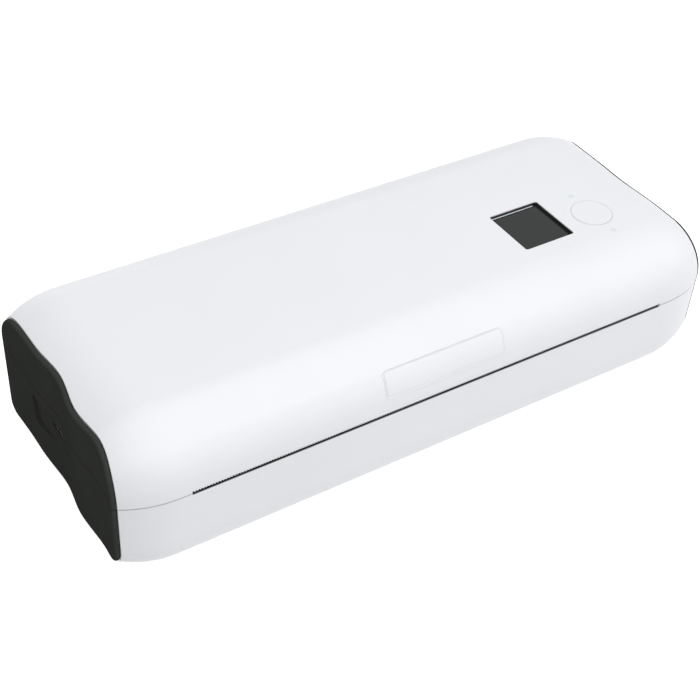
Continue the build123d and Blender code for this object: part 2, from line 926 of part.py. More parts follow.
def heat_sink():
    """Aluminium bar under the print head, with lugs for the rod that it rocks on."""
    rear = head_rod_axis[0] + head_lug_back
    y = (frame_front + side_plate + head_sink_gap, rear)
    sink = block((-roller_half, roller_half), y, (head_sink_low, head_sink_low + head_sink))
    lug_radius = head_rod_radius + head_lug_wall
    for x in (-head_lug_station, head_lug_station):
        lug_x = wider((x, x), head_lug_half)
        sink += block(lug_x, (head_rod_axis[0] - lug_radius, rear), (head_rod_axis[1], head_sink_low))
        sink += rod_x(head_rod_axis, lug_radius, lug_x)
    return sink - rod_x(head_rod_axis, head_rod_radius + running_gap, (-plate_out, plate_out))


def head_rod():
    return rod_x(head_rod_axis, head_rod_radius, (-plate_out, plate_out))


def head_spring(x):
    """Coil spring between the frame and the head, as a sleeve."""
    z = (frame_floor, head_sink_low)
    place = (x, platen_axis[0] - head_spring_front)
    return rod_z(place, head_spring_radius, z) - rod_z(place, head_spring_radius - head_spring_wire, z)


def bay_hollow():
    x = (-slot_half, slot_half)
    low = rod_x(bay_axis, bay_radius, x)
    return low + block(x, (bay_axis[0] - bay_radius, bay_axis[0] + bay_radius), (bay_axis[1], height))


def rack_root():
    """Distance of the rack's tooth roots from the guide pinion's axis."""
    return rack_module * (guide_pinion_teeth / 2 + root_depth)


def guide_range():
    """How far each roll guide slides in from its end of the bay."""
    return slot_half - guide_hub_length - guide_thickness - guide_end_room


def roll_trough():
    """Inner tub for the paper roll, with a deck around it that covers the works."""
    shell = bay_radius + trough_wall
    end = slot_half + trough_wall
    low = rod_x(bay_axis, shell, (-end, end))
    sides = block((-end, end), (bay_axis[0] - shell, bay_axis[0] + shell), (bay_axis[1], deck_top))
    deck_front = frame_front + frame_depth + fit_gap
    deck = block((-far, far), (deck_front, far), (deck_bottom, deck_top))
    deck = deck & inside & between_ends(cap_thickness + cap_lip + fit_gap)
    tub = (low & below(bay_axis[1])) + sides + deck
    for place in case_screw_places():
        tub += rod_z(place, boss_radius, (base_floor, deck_bottom + trough_wall / 2))
    tub -= bay_hollow()
    for place in case_screw_places():
        tub -= rod_z(place, screw_radius + screw_bite, (base_floor, base_floor + screw_length + cut_over))
    for side in (-1, 1):
        tub -= guide_slot(side)
    return tub - sensor_solid(2 * running_gap)


def guide_slot(side):
    """Slot in the trough's floor for the foot of one roll guide."""
    near = rack_root() + guide_stem_gap - fit_gap
    far_side = near + guide_stem_width + 2 * fit_gap
    y = sorted((bay_axis[0] + side * near, bay_axis[0] + side * far_side))
    inner = slot_half - guide_range() - guide_play - guide_stem_length - fit_gap
    x = sorted((side * slot_half, side * inner))
    return block(x, y, (base_floor, bay_axis[1] - bay_radius / 2))


def sensor_solid(extra):
    """Gap sensor let into the deck in front of the roll."""
    y = bay_axis[0] - bay_radius - trough_wall - sensor_setback
    x = (sensor_place, sensor_place + sensor_length)
    return block(wider(x, extra), wider((y, y + sensor_width), extra), (deck_bottom - sensor_hang, deck_top))


def rack_outline(start, end):
    """Rack teeth facing +Y about the line y = 0, with a gap centred on x = 0."""
    pitch = pi * rack_module
    slope = tan(radians(pressure_angle))
    half_root = pitch / 4 + rack_module * root_depth * slope - rack_teeth_gap / 2
    half_tip = pitch / 4 - rack_module * slope - rack_teeth_gap / 2
    first = ceil(start / pitch + 0.5)
    last = int(end / pitch - 0.5)
    root = -root_depth * rack_module
    points = [(start, root - rack_back_width), (start, root)]
    for number in range(first, last):
        middle = (number + 0.5) * pitch
        points += [(middle - half_root, root), (middle - half_tip, rack_module)]
        points += [(middle + half_tip, rack_module), (middle + half_root, root)]
    points += [(end, root), (end, root - rack_back_width)]
    return make_face(Polyline(*points, close=True))


def roll_guide():
    """Left roll holder: disc with a hub for the roll's core, a foot through the floor, and its rack."""
    outer_x = -slot_half + guide_play
    x = (outer_x, outer_x + guide_thickness)
    hub_x = (outer_x, x[1] + guide_hub_length)
    foot_y = wider((bay_axis[0], bay_axis[0]), guide_foot_half)
    plate = rod_x(bay_axis, guide_disc_radius, x) + block(x, foot_y, (0, bay_axis[1]))
    plate &= rod_x(bay_axis, bay_radius - guide_play, x)
    plate += rod_x(bay_axis, guide_hub_radius, hub_x)
    plate -= rod_x(bay_axis, guide_hub_radius - guide_hub_wall, hub_x)
    near = rack_root() + guide_stem_gap
    stem_y = (bay_axis[0] - near - guide_stem_width, bay_axis[0] - near)
    stem_z = (rack_low, bay_axis[1] - bay_radius + guide_stem_rise)
    plate += block((outer_x, outer_x + guide_stem_length), stem_y, stem_z)
    pitch_line = bay_axis[0] - rack_module * guide_pinion_teeth / 2
    rack = extrude(Pos(0, pitch_line, rack_low) * rack_outline(outer_x, rack_overlap), rack_height)
    return plate + rack


def guide_pinion():
    turned = gear(guide_pinion_teeth, rack_module, -90, rack_teeth_gap)
    wheel = extrude(Pos(0, bay_axis[0], rack_low) * turned, rack_height)
    return wheel - rod_z((0, bay_axis[0]), guide_axle_radius + running_gap, (base_floor, height))


def guide_axle():
    top = bay_axis[1] - bay_radius - trough_wall - 2 * running_gap
    return rod_z((0, bay_axis[0]), guide_axle_radius, (base_floor, top))


def cell_spans():
    starts = [-half_length + cell_inset + (cell_length + cell_gap) * n for n in range(cell_count)]
    return [(start, start + cell_length) for start in starts]


def battery_holder():
    spans = cell_spans()
    room = wider((spans[0][0], spans[-1][1]), cell_play)
    y = wider((cell_axis[0], cell_axis[0]), cell_radius + holder_wall)
    tray = block(wider(room, holder_wall), y, (base_floor, cell_axis[1] - holder_drop)) & hollow
    return tray - rod_x(cell_axis, cell_radius + cell_play / 2, room)


def main_board_parts():
    """Chips and connectors soldered to the back of the main board."""
    y = back - main_board_back + board_thickness
    left, right = main_board_x()
    parts = []
    for share, up, wide, tall, rise in board_parts:
        x = left + share * (right - left)
        z = main_board_low() + up
        parts.append(block((x, x + wide), (y, y + rise), (z, z + tall)))
    return parts


def usb_board():
    x = (usb_board_left(), usb_board_left() + usb_board_x)
    y = (usb_place_y - usb_board_y / 2, usb_place_y + usb_board_y / 2)
    return block(x, y, (usb_board_top() - board_thickness, usb_board_top()))


def usb_port():
    """Flat rounded socket with its inner tongue, open at the left end."""
    plane = usb_plane(-half_length + deepest_wave + usb_port_setback)
    outer_slot = SlotOverall(usb_port_width, usb_port_height)
    inner_slot = SlotOverall(usb_port_width - 2 * usb_port_wall, usb_port_height - 2 * usb_port_wall)
    inner_length = usb_port_length - usb_tongue_setback
    tongue = Rectangle(usb_tongue_width, usb_tongue_thickness)
    port = extrude(plane * outer_slot, usb_port_length) - extrude(plane * inner_slot, inner_length)
    return port + extrude(plane.offset(usb_tongue_setback) * tongue, inner_length)


def cover_switch():
    """Small switch on the deck that the liner's peg presses when the lid is shut."""
    body_top = deck_top + cover_switch_height
    body = cover_switch_block(cover_switch_half, (deck_top, body_top))
    return body + cover_switch_block(switch_lever_half, (body_top, body_top + switch_lever_height))


def cover_switch_block(half, z):
    """Block over the lid switch, from its half sizes along X and Y."""
    x, y = cover_switch_place
    return block(wider((x, x), half[0]), wider((y, y), half[1]), z)


def lid_liner():
    """Flat inner cover over the lid's board, with the peg that closes the lid switch."""
    plate = block((-far, far), (lid_front_centre[0] + liner_front, far), (liner_bottom, liner_top))
    plate = plate & inside & between_ends(cap_thickness + cap_lip + fit_gap)
    peg_low = deck_top + cover_switch_height + switch_lever_height + switch_peg_gap
    plate += cover_switch_block((switch_peg_half, switch_peg_half), (peg_low, liner_bottom))
    for place in liner_screw_places():
        plate -= rod_z(place, screw_radius + 2 * running_gap, (liner_bottom, liner_top))
    return plate


def liner_screw(place):
    shank = rod_z(place, screw_radius, (liner_bottom, liner_bottom + liner_screw_length))
    return shank + rod_z(place, screw_head_radius, (liner_bottom - screw_head_height, liner_bottom))


def case_screw(place):
    seat = foot_proud + screw_head_height
    head = rod_z(place, screw_head_radius, (foot_proud + 2 * running_gap, seat))
    return head + rod_z(place, screw_radius, (seat, base_floor + screw_length))


def board_screw(place):
    """Headless screw that holds the lid's board to its post."""
    return rod_z(place, screw_radius, (board_top - board_thickness, ceiling - 2 * fit_gap))


def lid_board():
    low, high = lid_board_span()
    board = block((low[0], high[0]), (low[1], high[1]), (board_top - board_thickness, board_top))
    for place in board_screw_places():
        board -= rod_z(place, screw_radius + screw_bite, (0, height))
    return board


def display_window():
    """Clear lens held against the underside of the lid's opening."""
    lens = window_outline(lens_border - 2 * running_gap)
    low = height - window_recess - lens_thickness
    return extrude(Pos(window_x, window_y, low) * lens, lens_thickness)


def display_panel():
    x = wider((window_x, window_x), window_width / 2 + display_margin)
    y = wider((window_y, window_y), window_length / 2 + display_margin)
    return block(x, y, (board_top, board_top + display_height))


def power_button():
    place = (button_x, button_y)
    cap = rod_z(place, button_radius, (button_under, height))
    flange_radius = button_radius + button_groove + button_flange
    return cap + rod_z(place, flange_radius, (button_under - button_flange_thickness, button_under))


def switch_plunger():
    """Round stem of the switch, fixed to the button's underside."""
    low = board_top + switch_floor + button_travel + 2 * running_gap
    return rod_z((button_x, button_y), plunger_radius, (low, button_under - button_flange_thickness))


def power_switch():
    half = switch_size / 2
    x = wider((button_x, button_x), half)
    body = block(x, wider((button_y, button_y), half), (board_top, board_top + switch_height))
    bore = plunger_radius + running_gap
    return body - rod_z((button_x, button_y), bore, (board_top + switch_floor, height))


def light_pipe(y):
    return rod_z((button_x, y), light_radius, (board_top, height))


def rubber_foot(place):
    return rod_z(place, foot_radius, (0, foot_proud + foot_recess))


def hinge_pin(side):
    spans = knuckle_spans(side)
    return hinge_rod(hinge_pin_radius, (spans[0][0], spans[2][1]))


for word, side in (("left", -1), ("right", 1)):
    cap = end_cap(side)
    lower = cap & below(base_top)
    if side < 0:
        lower -= usb_recess() + usb_opening()
    save(cap & above(lid_bottom), f"lid_end_cap_{word}")
    save(lower, f"base_end_cap_{word}")
    save(latch_strike(side), f"latch_strike_{word}")
    save(platen_carrier(side), f"platen_carrier_{word}")
    save(platen_bushing(side), f"platen_bushing_{word}")
    save(hinge_pin(side), f"hinge_pin_{word}")

save(lid_shell(), "lid_shell")
save(base_shell(), "base_shell")
save(tear_bar(), "tear_bar")
save(latch_button(), "latch_button")
save(latch_bar(), "latch_bar")
save(group(latch_spring(side) for side in (-1, 1)), "latch_springs")
save(platen_roller(), "platen_roller")
save(platen_shaft(), "platen_shaft")
save(gear_x(platen_axis, platen_teeth, idler_contact, shaft_radius, (gear_in, gear_out)), "platen_gear")
save(
    gear_x(idler_axis, idler_teeth, idler_turn, idler_axle_radius + running_gap, (gear_in, gear_out)),
    "idler_gear",
)
save(rod_x(idler_axis, idler_axle_radius, (plate_in, gear_out + shaft_proud)), "idler_axle")
save(
    gear_x(motor_axis, pinion_teeth, motor_turn, motor_shaft_radius, (gear_in, gear_out)),
    "motor_pinion",
)
save(motor_shaft(), "motor_shaft")
save(drive_motor(), "drive_motor")
save(group(motor_screw(place) for place in motor_screw_places()), "motor_screws")
save(mechanism_frame(), "mechanism_frame")
save(print_head(), "print_head")
save(heat_sink(), "heat_sink")
save(head_rod(), "head_rod")
save(group(head_spring(n * head_spring_pitch) for n in (-1, 0, 1)), "head_springs")
save(roll_trough(), "roll_trough")
save(sensor_solid(0), "media_sensor")
left_guide = roll_guide()
save(left_guide, "roll_guide_left")
save(left_guide.rotate(Axis((0, bay_axis[0], 0), (0, 0, 1)), 180), "roll_guide_right")
save(guide_pinion(), "guide_pinion")
save(guide_axle(), "guide_axle")
save(group(rod_x(cell_axis, cell_radius, span) for span in cell_spans()), "battery_cells")
save(battery_holder(), "battery_holder")
save(main_board_solid(), "main_board")
save(group(main_board_parts()), "main_board_parts")
save(usb_board(), "usb_board")
save(usb_port(), "usb_port")
save(cover_switch(), "cover_switch")
save(lid_liner(), "lid_liner")
save(group(liner_screw(place) for place in liner_screw_places()), "liner_screws")
save(group(case_screw(place) for place in case_screw_places()), "case_screws")
save(group(board_screw(place) for place in board_screw_places()), "board_screws")
save(lid_board(), "lid_board")
save(display_window(), "display_window")
save(display_panel(), "display_panel")
save(power_button(), "power_button")
save(switch_plunger(), "switch_plunger")
save(power_switch(), "power_switch")
save(light_pipe(light_places()[0]), "status_light")
save(light_pipe(light_places()[1]), "charge_light")
save(group(rubber_foot(place) for place in foot_places()), "rubber_feet")
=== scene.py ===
import math

import bmesh
import bpy
from mathutils import Matrix, Vector


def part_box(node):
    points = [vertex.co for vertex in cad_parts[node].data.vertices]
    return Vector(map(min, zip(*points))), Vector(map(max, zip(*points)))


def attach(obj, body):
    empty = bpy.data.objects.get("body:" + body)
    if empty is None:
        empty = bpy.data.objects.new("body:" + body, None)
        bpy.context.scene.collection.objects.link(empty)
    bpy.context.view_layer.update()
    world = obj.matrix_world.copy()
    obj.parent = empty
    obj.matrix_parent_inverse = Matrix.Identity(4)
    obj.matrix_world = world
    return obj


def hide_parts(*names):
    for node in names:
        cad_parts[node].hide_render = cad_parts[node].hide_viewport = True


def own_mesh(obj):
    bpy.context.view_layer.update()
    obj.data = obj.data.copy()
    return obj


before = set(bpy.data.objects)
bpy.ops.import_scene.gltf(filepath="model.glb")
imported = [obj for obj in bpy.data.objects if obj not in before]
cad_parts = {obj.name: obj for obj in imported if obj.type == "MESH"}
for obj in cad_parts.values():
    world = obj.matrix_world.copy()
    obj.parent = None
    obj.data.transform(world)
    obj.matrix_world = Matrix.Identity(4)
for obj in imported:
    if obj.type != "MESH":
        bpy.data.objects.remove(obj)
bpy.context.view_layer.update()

# Base shell and lid shell
# The two halves of the outer case: white ABS, injection moulded in a tool with a fine spark-eroded
# finish, and hinged at the back by knuckles that are moulded in one with them.
millimetre = 0.001
micrometre = 0.000001


def linear(code):
    """Linear colour of an sRGB hex code, as four numbers."""
    parts = [int(code[i:i + 2], 16) / 255 for i in (1, 3, 5)]
    return tuple(p / 12.92 if p <= 0.04045 else ((p + 0.055) / 1.055) ** 2.4 for p in parts) + (1.0,)


def per_mm(size):
    """Texture scale that makes one cell of a pattern the given size in millimetres."""
    return 1000.0 / size


def add(tree, kind, sockets=None, **settings):
    """One node with its settings; a socket takes a value, or the output that is linked to it."""
    made = tree.nodes.new(kind)
    for name, value in settings.items():
        setattr(made, name, value)
    for key, value in (sockets or {}).items():
        if isinstance(value, bpy.types.NodeSocket):
            tree.links.new(value, made.inputs[key])
        else:
            made.inputs[key].default_value = value
    return made


def start_material(name, run=(1.0, 1.0, 1.0)):
    """Empty material and its coordinates in metres; a run below 1 draws patterns out along that axis."""
    material = bpy.data.materials.new(name)
    material.use_nodes = True
    tree = material.node_tree
    tree.nodes.clear()
    coordinates = add(tree, "ShaderNodeTexCoord").outputs["Object"]
    spread = add(tree, "ShaderNodeMapping", {"Vector": coordinates, "Scale": run})
    return material, tree, spread.outputs["Vector"]


def two_tones(tree, place, patch, light, dark):
    """Two close colours in soft patches of a size in millimetres."""
    cloud = add(tree, "ShaderNodeTexNoise", {"Vector": place, "Scale": per_mm(patch), "Detail": 3.0})
    return add(tree, "ShaderNodeMix", {
        0: cloud.outputs["Fac"], 6: linear(light), 7: linear(dark)}, data_type="RGBA").outputs[2]


def grained(tree, place, colour, grain, gloss, relief, soft_edge=0.0, **constants):
    """Surface whose roughness and height vary with a grain in millimetres; relief is in micrometres."""
    texture = add(tree, "ShaderNodeTexNoise", {"Vector": place, "Scale": per_mm(grain), "Detail": 4.0})
    # A noise texture seldom leaves the middle of its range, so that middle spans the whole gloss.
    spread = add(tree, "ShaderNodeMapRange", {
        "Value": texture.outputs["Fac"], "From Min": 0.3, "From Max": 0.7,
        "To Min": gloss[0], "To Max": gloss[1]})
    sockets = {"Height": texture.outputs["Fac"], "Strength": 0.5, "Distance": relief * micrometre}
    if soft_edge:
        rounded_edge = add(tree, "ShaderNodeBevel", {"Radius": soft_edge * millimetre}, samples=4)
        sockets["Normal"] = rounded_edge.outputs["Normal"]
    bump = add(tree, "ShaderNodeBump", sockets)
    shader = add(tree, "ShaderNodeBsdfPrincipled", {
        "Base Color": colour, "Roughness": spread.outputs["Result"], "Normal": bump.outputs["Normal"]})
    for socket, value in constants.items():
        shader.inputs[socket.replace("_", " ")].default_value = value
    add(tree, "ShaderNodeOutputMaterial", {"Surface": shader.outputs["BSDF"]})


def dress(material, *names):
    """Gives CAD nodes a material, and leaves their shape as it is."""
    for name in names:
        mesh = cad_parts[name].data
        mesh.materials.clear()
        mesh.materials.append(material)


# Spark-eroded white ABS: satin, so highlights on the front curve stay broad and soft, with a faint
# cool tint. The real grain is about 0.1 mm, too fine to show, and is drawn at 0.5 mm. Edges of the
# parting line and of the openings are broken by about 0.3 mm and catch a thin light.
white_abs, tree, place = start_material("white_abs_spark_eroded")
tone = two_tones(tree, place, 40, "#F2F3F6", "#EDEFF3")
# Down in the seams, where little light gets in, the plastic is painted a darker grey as painted shade: fully
# where 5 % of the light gets in within a reach of 1.2 mm, and not at all from 32 % on.
seam_reach = 1.2
full_painted_shade, no_painted_shade = 0.05, 0.32
openness = add(tree, "ShaderNodeAmbientOcclusion", {"Distance": seam_reach * millimetre}, samples=8)
unshaded_share = add(tree, "ShaderNodeMapRange", {
    "Value": openness.outputs["AO"], "From Min": full_painted_shade, "From Max": no_painted_shade})
# Painted shade: a dark grey is mixed into the plastic's colour where the seams are occluded.
seam_shaded_tone = add(tree, "ShaderNodeMix", {
    0: unshaded_share.outputs["Result"], 6: linear("#6A6C6F"), 7: tone}, data_type="RGBA")
grained(tree, place, seam_shaded_tone.outputs[2], 0.5, (0.30, 0.40), 6, soft_edge=0.3,
        IOR=1.53, Specular_IOR_Level=0.35)
dress(white_abs, "base_shell", "lid_shell")

# Rubber feet
# Four black rubber pads pressed into round recesses under the base. Compression moulded, with three
# fine rings in the face that grip the table; dull all over, in slightly uneven greys.
foot_places = [(x, y) for x in (-100.4, 100.4) for y in (-31.35, 32.95)]
foot_radius = 5.0
foot_height = 1.6
foot_edge = 0.25
groove_starts = (1.0, 2.4, 3.8)
groove_depth = 0.2
groove_width = 0.6
groove_slope = 0.15
crease_angle = math.radians(35)
foot_outline = [(0.0, 0.0)]
for inner in groove_starts:
    outer = inner + groove_width
    foot_outline += [(inner, 0.0), (inner + groove_slope, groove_depth),
                     (outer - groove_slope, groove_depth), (outer, 0.0)]
foot_outline += [(foot_radius - foot_edge, 0.0), (foot_radius, foot_edge),
                 (foot_radius, foot_height), (0.0, foot_height)]


def spin(shape, profile, place, steps=40):
    """Turns a closed profile of (radius, height) about the Z axis of a placing matrix."""
    rings = []
    for radius, height in profile:
        if radius < 1e-6:
            rings.append([shape.verts.new(place @ Vector((0, 0, height)))])
            continue
        angles = [2 * math.pi * step / steps for step in range(steps)]
        ring = [Vector((radius * math.cos(a), radius * math.sin(a), height)) for a in angles]
        rings.append([shape.verts.new(place @ point) for point in ring])
    for low, high in zip(rings, rings[1:]):
        for step in range(steps):
            after = (step + 1) % steps
            corners = [low[step % len(low)], low[after % len(low)],
                       high[after % len(high)], high[step % len(high)]]
            corners = [corner for k, corner in enumerate(corners) if corner not in corners[:k]]
            if len(corners) > 2:
                shape.faces.new(corners)


def fit_piece(name, shape, material, body, stands_for=()):
    """Makes a piece of a mesh in millimetres, on its body, in place of the CAD nodes it stands for."""
    bmesh.ops.transform(shape, matrix=Matrix.Scale(millimetre, 4), verts=shape.verts)
    bmesh.ops.recalc_face_normals(shape, faces=shape.faces)
    for face in shape.faces:
        face.smooth = True
    for edge in shape.edges:
        if len(edge.link_faces) == 2 and edge.calc_face_angle() > crease_angle:
            edge.smooth = False
    mesh = bpy.data.meshes.new(name)
    shape.to_mesh(mesh)
    shape.free()
    mesh.materials.append(material)
    piece = bpy.data.objects.new(name, mesh)
    bpy.context.scene.collection.objects.link(piece)
    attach(piece, body)
    if stands_for:
        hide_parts(*stands_for)
    return piece


# Moulded nitrile rubber: near black, with a very dull skin and a fine grain of about 0.3 mm.
rubber, tree, place = start_material("moulded_nitrile_rubber")
tone = two_tones(tree, place, 3, "#2B2C2C", "#1E1F1F")
grained(tree, place, tone, 0.3, (0.75, 0.95), 25, IOR=1.52)
shape = bmesh.new()
for x, y in foot_places:
    spin(shape, foot_outline, Matrix.Translation((x, y, 0)))
fit_piece("foot_pads", shape, rubber, "base", ["rubber_feet"])

# Case screws
# Four thread-forming screws that hold the roll trough to the base from below. Cold-headed steel with
# a black zinc finish, which is dark and half glossy, and a stamped cross recess in each head.
case_screw_places = [(x, y) for x in (-70.0, 70.0) for y in (-21.7, 38.0)]
case_screw_face = 0.75
shank_radius = 1.25
crest_drop = 0.05
root_drop = 0.3
thread_pitch = 0.9
cross_reach_share = 0.55
cross_tip_share = 0.35
cross_width = 0.55
cross_depth = 0.6
cutter_rise = 0.3


def cross_cutter(shape, place, reach):
    """Two crossed bars with tapered ends, which stamp the recess of a screw head."""
    for turn in (0.0, math.pi / 2):
        at = place @ Matrix.Rotation(turn, 4, "Z")
        low, high = [
            [shape.verts.new(at @ Vector((sx * half, sy * cross_width / 2, level)))
             for sx, sy in ((-1, -1), (1, -1), (1, 1), (-1, 1))]
            for half, level in ((reach * cross_tip_share, -cross_depth), (reach, cutter_rise))]
        shape.faces.new(low)
        shape.faces.new(high)
        for k in range(4):
            shape.faces.new((low[k], low[(k + 1) % 4], high[(k + 1) % 4], high[k]))


def stamped(piece, cutter_shape):
    """Cuts the recesses out of the screw heads and keeps the result as the piece's mesh."""
    bmesh.ops.transform(cutter_shape, matrix=Matrix.Scale(millimetre, 4), verts=cutter_shape.verts)
    bmesh.ops.recalc_face_normals(cutter_shape, faces=cutter_shape.faces)
    cutter_mesh = bpy.data.meshes.new("recess_cutter")
    cutter_shape.to_mesh(cutter_mesh)
    cutter_shape.free()
    cutter = bpy.data.objects.new("recess_cutter", cutter_mesh)
    bpy.context.scene.collection.objects.link(cutter)
    cut = piece.modifiers.new("recess", "BOOLEAN")
    cut.operation = "DIFFERENCE"
    cut.solver = "EXACT"
    cut.use_self = True
    cut.object = cutter
    bpy.context.view_layer.update()
    result = bpy.data.meshes.new_from_object(piece.evaluated_get(bpy.context.evaluated_depsgraph_get()))
    piece.modifiers.remove(cut)
    piece.data = result
    bpy.data.objects.remove(cutter)


def screws(name, body, node, places, head_radius, head_length, shank_length):
    """Screws in place of a CAD node, on placing matrices whose Z points out of the head."""
    tip = -head_length - shank_length
    crest = shank_radius - crest_drop
    root = shank_radius - root_drop
    thread = []
    for turn in range(int(shank_length / thread_pitch)):
        start = -head_length - 0.5 - thread_pitch * turn
        thread += [(crest, start), (root, start - 0.3), (root, start - 0.5), (crest, start - 0.8)]
    thread = [point for point in thread if point[1] > tip + 0.5]
    # From the middle of the face out over the rounded rim, down the thread, and in to the blunt tip.
    profile = [(0.0, 0.0), (head_radius - 0.45, 0.0), (head_radius - 0.12, -0.12), (head_radius, -0.45),
               (head_radius, -head_length), (crest, -head_length)] + thread + [(0.3, tip), (0.0, tip)]
    shape = bmesh.new()
    cutter = bmesh.new()
    for place in places:
        spin(shape, profile, place, 24)
        cross_cutter(cutter, place, head_radius * cross_reach_share)
    piece = fit_piece(name, shape, black_zinc, body, [node])
    stamped(piece, cutter)


black_zinc, tree, place = start_material("black_zinc_plated_steel")
tone = two_tones(tree, place, 1.2, "#3A3B3D", "#2A2B2E")
grained(tree, place, tone, 0.25, (0.28, 0.45), 8, Metallic=1.0)
facing_down = Matrix.Rotation(math.pi, 4, "X")
screws("case_screws_detailed", "base", "case_screws",
       [Matrix.Translation((x, y, case_screw_face)) @ facing_down for x, y in case_screw_places],
       head_radius=2.45, head_length=1.0, shank_length=8.3)

# Battery
# Two rechargeable cells end to end in a black moulded cradle under the print frame. Each steel cell
# has a blue shrink film, glossy and slightly puckered where it draws in at the ends.
shrink_film, tree, place = start_material("blue_pvc_shrink_film")
tone = two_tones(tree, place, 9, "#2F62A8", "#285596")
grained(tree, place, tone, 2.5, (0.12, 0.24), 60, IOR=1.54, Coat_Weight=0.4)
dress(shrink_film, "battery_cells")
# Glass-filled ABS of the inner parts: near black, and flatter than the caps because the tool is
# only ground, with faint flow patches a few millimetres across.
inner_abs, tree, place = start_material("black_abs_ground_tool")
tone = two_tones(tree, place, 6, "#2C2D2F", "#242527")
grained(tree, place, tone, 0.4, (0.42, 0.60), 14, soft_edge=0.2, IOR=1.53, Specular_IOR_Level=0.4)
dress(inner_abs, "battery_holder", "roll_trough", "roll_guide_left", "roll_guide_right",
      "lid_liner", "latch_bar")

# Circuit boards
# Glass-epoxy boards with a green solder mask over copper tracks. The tracks show through as lighter
# green lines 1.25 mm apart, and the mask is glossy and a little uneven over them.
track_gap = 1.25
# Each row of the brick pattern is a quarter of its scale high.
solder_mask, tree, place = start_material("green_solder_mask_on_glass_epoxy")
tracks = add(tree, "ShaderNodeTexBrick", {
    "Vector": place, "Scale": per_mm(track_gap * 4), "Mortar Size": 0.045, "Mortar Smooth": 0.2,
    "Color1": linear("#0E4A2A"), "Color2": linear("#115231"), "Mortar": linear("#2C7A4C")})
tone = add(tree, "ShaderNodeMix", {
    0: 0.3, 6: tracks.outputs["Color"], 7: two_tones(tree, place, 8, "#104E2D", "#0B3F24")},
    data_type="RGBA")
grained(tree, place, tone.outputs[2], 0.8, (0.18, 0.30), 20, IOR=1.55, Coat_Weight=0.3)
dress(solder_mask, "main_board", "usb_board", "lid_board")
# Chips, sockets and small switches: black epoxy moulding compound with a fine sand-like matt skin.
epoxy, tree, place = start_material("black_epoxy_moulding_compound")
tone = two_tones(tree, place, 1.5, "#26272A", "#1C1D1F")
grained(tree, place, tone, 0.2, (0.50, 0.70), 10, IOR=1.55)
dress(epoxy, "main_board_parts", "media_sensor", "cover_switch", "power_switch")

# Charging socket
# A standard small charging socket soldered to its own board behind the left cap. The shell is deep
# drawn steel plated with nickel; its tongue carries a row of gold-plated contacts on each face.
mouth_x, mouth_y, mouth_z = -131.0, 0.8, 31.0
contact_count = 12
contact_pitch = 0.5
contact_width = 0.26
contact_thickness = 0.06
contact_edge = 0.02
contact_start, contact_end = 1.2, 4.5
tongue_half = 0.35
# Nickel on drawn steel: bright and warm, with fine draw marks along the shell.
nickel, tree, place = start_material("nickel_plated_drawn_steel", (0.15, 1.0, 1.0))
tone = two_tones(tree, place, 1.0, "#C9C8C4", "#B3B2AE")
grained(tree, place, tone, 0.15, (0.20, 0.34), 4, Metallic=1.0)
dress(nickel, "usb_port")
# Thin plated gold: deep yellow and almost smooth.
gold, tree, place = start_material("gold_plated_contacts")
tone = two_tones(tree, place, 0.6, "#E2B659", "#CF9F45")
grained(tree, place, tone, 0.1, (0.18, 0.30), 2, Metallic=1.0)


def bar(shape, low, high, bevel=0.0):
    """Block between two corners, with its edges broken by a bevel."""
    made = bmesh.ops.create_cube(shape, size=1.0)["verts"]
    size = Vector(high) - Vector(low)
    middle = (Vector(high) + Vector(low)) / 2
    bmesh.ops.transform(shape, verts=made, matrix=Matrix.Translation(middle) @ Matrix.Diagonal(size).to_4x4())
    if bevel:
        edges = {edge for vert in made for edge in vert.link_edges}
        bmesh.ops.bevel(shape, geom=list(edges), offset=bevel, segments=2, affect="EDGES", profile=0.5)


shape = bmesh.new()
for lower_side in (tongue_half, -tongue_half - contact_thickness):
    for contact in range(contact_count):
        y = mouth_y + (contact - (contact_count - 1) / 2) * contact_pitch
        z = mouth_z + lower_side
        bar(shape, (mouth_x + contact_start, y - contact_width / 2, z),
            (mouth_x + contact_end, y + contact_width / 2, z + contact_thickness), contact_edge)
fit_piece("socket_contacts", shape, gold, "base")

# Roll trough and its marks
# The black inner tub takes the label roll. Its deck has a row of white pad-printed marks every 10 mm
# that help centre a roll, and a sensor with two clear lenses that sees the gap between labels.
shadow_strip_half = 106.9
shadow_bare, shadow_full = 38.78, 39.22
# A black strip along the slot's lower edge is painted shadow: it darkens the slot as its shade would. Down
# the base's bevelled edge it fades out as painted shade, from the height where it is full to where it is bare
# and the white plastic shows.
slot_shadow, tree, place = start_material("painted_slot_shadow_fading_to_white")
height = add(tree, "ShaderNodeSeparateXYZ", {"Vector": place}).outputs["Z"]
shadow_cover = add(tree, "ShaderNodeMapRange", {
    "Value": height, "From Min": shadow_bare * millimetre, "From Max": shadow_full * millimetre})
shadow_colour = add(tree, "ShaderNodeMix", {
    0: shadow_cover.outputs["Result"], 6: linear("#C6C7C9"),
    7: two_tones(tree, place, 0.6, "#0D0D0E", "#070708")}, data_type="RGBA")
grained(tree, place, shadow_colour.outputs[2], 0.2, (0.85, 0.95), 30, IOR=1.5, Specular_IOR_Level=0.0)
# Side outline of the strip, which follows the base's bevelled edge up and in: (y, z) pairs.
shadow_strip_outline = [(-57.10, 38.80), (-57.17, 38.88), (-57.13, 38.97), (-56.42, 39.69), (-56.36, 39.71),
                 (-55.3, 39.71), (-55.25, 39.66), (-55.25, 39.55), (-56.34, 39.55)]
# Painted shadow: this dark strip stands for the shade inside the slot.
shape = bmesh.new()
left, right = [[shape.verts.new((x, y, z)) for y, z in shadow_strip_outline] for x in (-shadow_strip_half, shadow_strip_half)]
for k in range(len(shadow_strip_outline)):
    after = (k + 1) % len(shadow_strip_outline)
    shape.faces.new((left[k], left[after], right[after], right[k]))
shape.faces.new(left)
shape.faces.new(right)
fit_piece("painted_slot_shadow", shape, slot_shadow, "base")
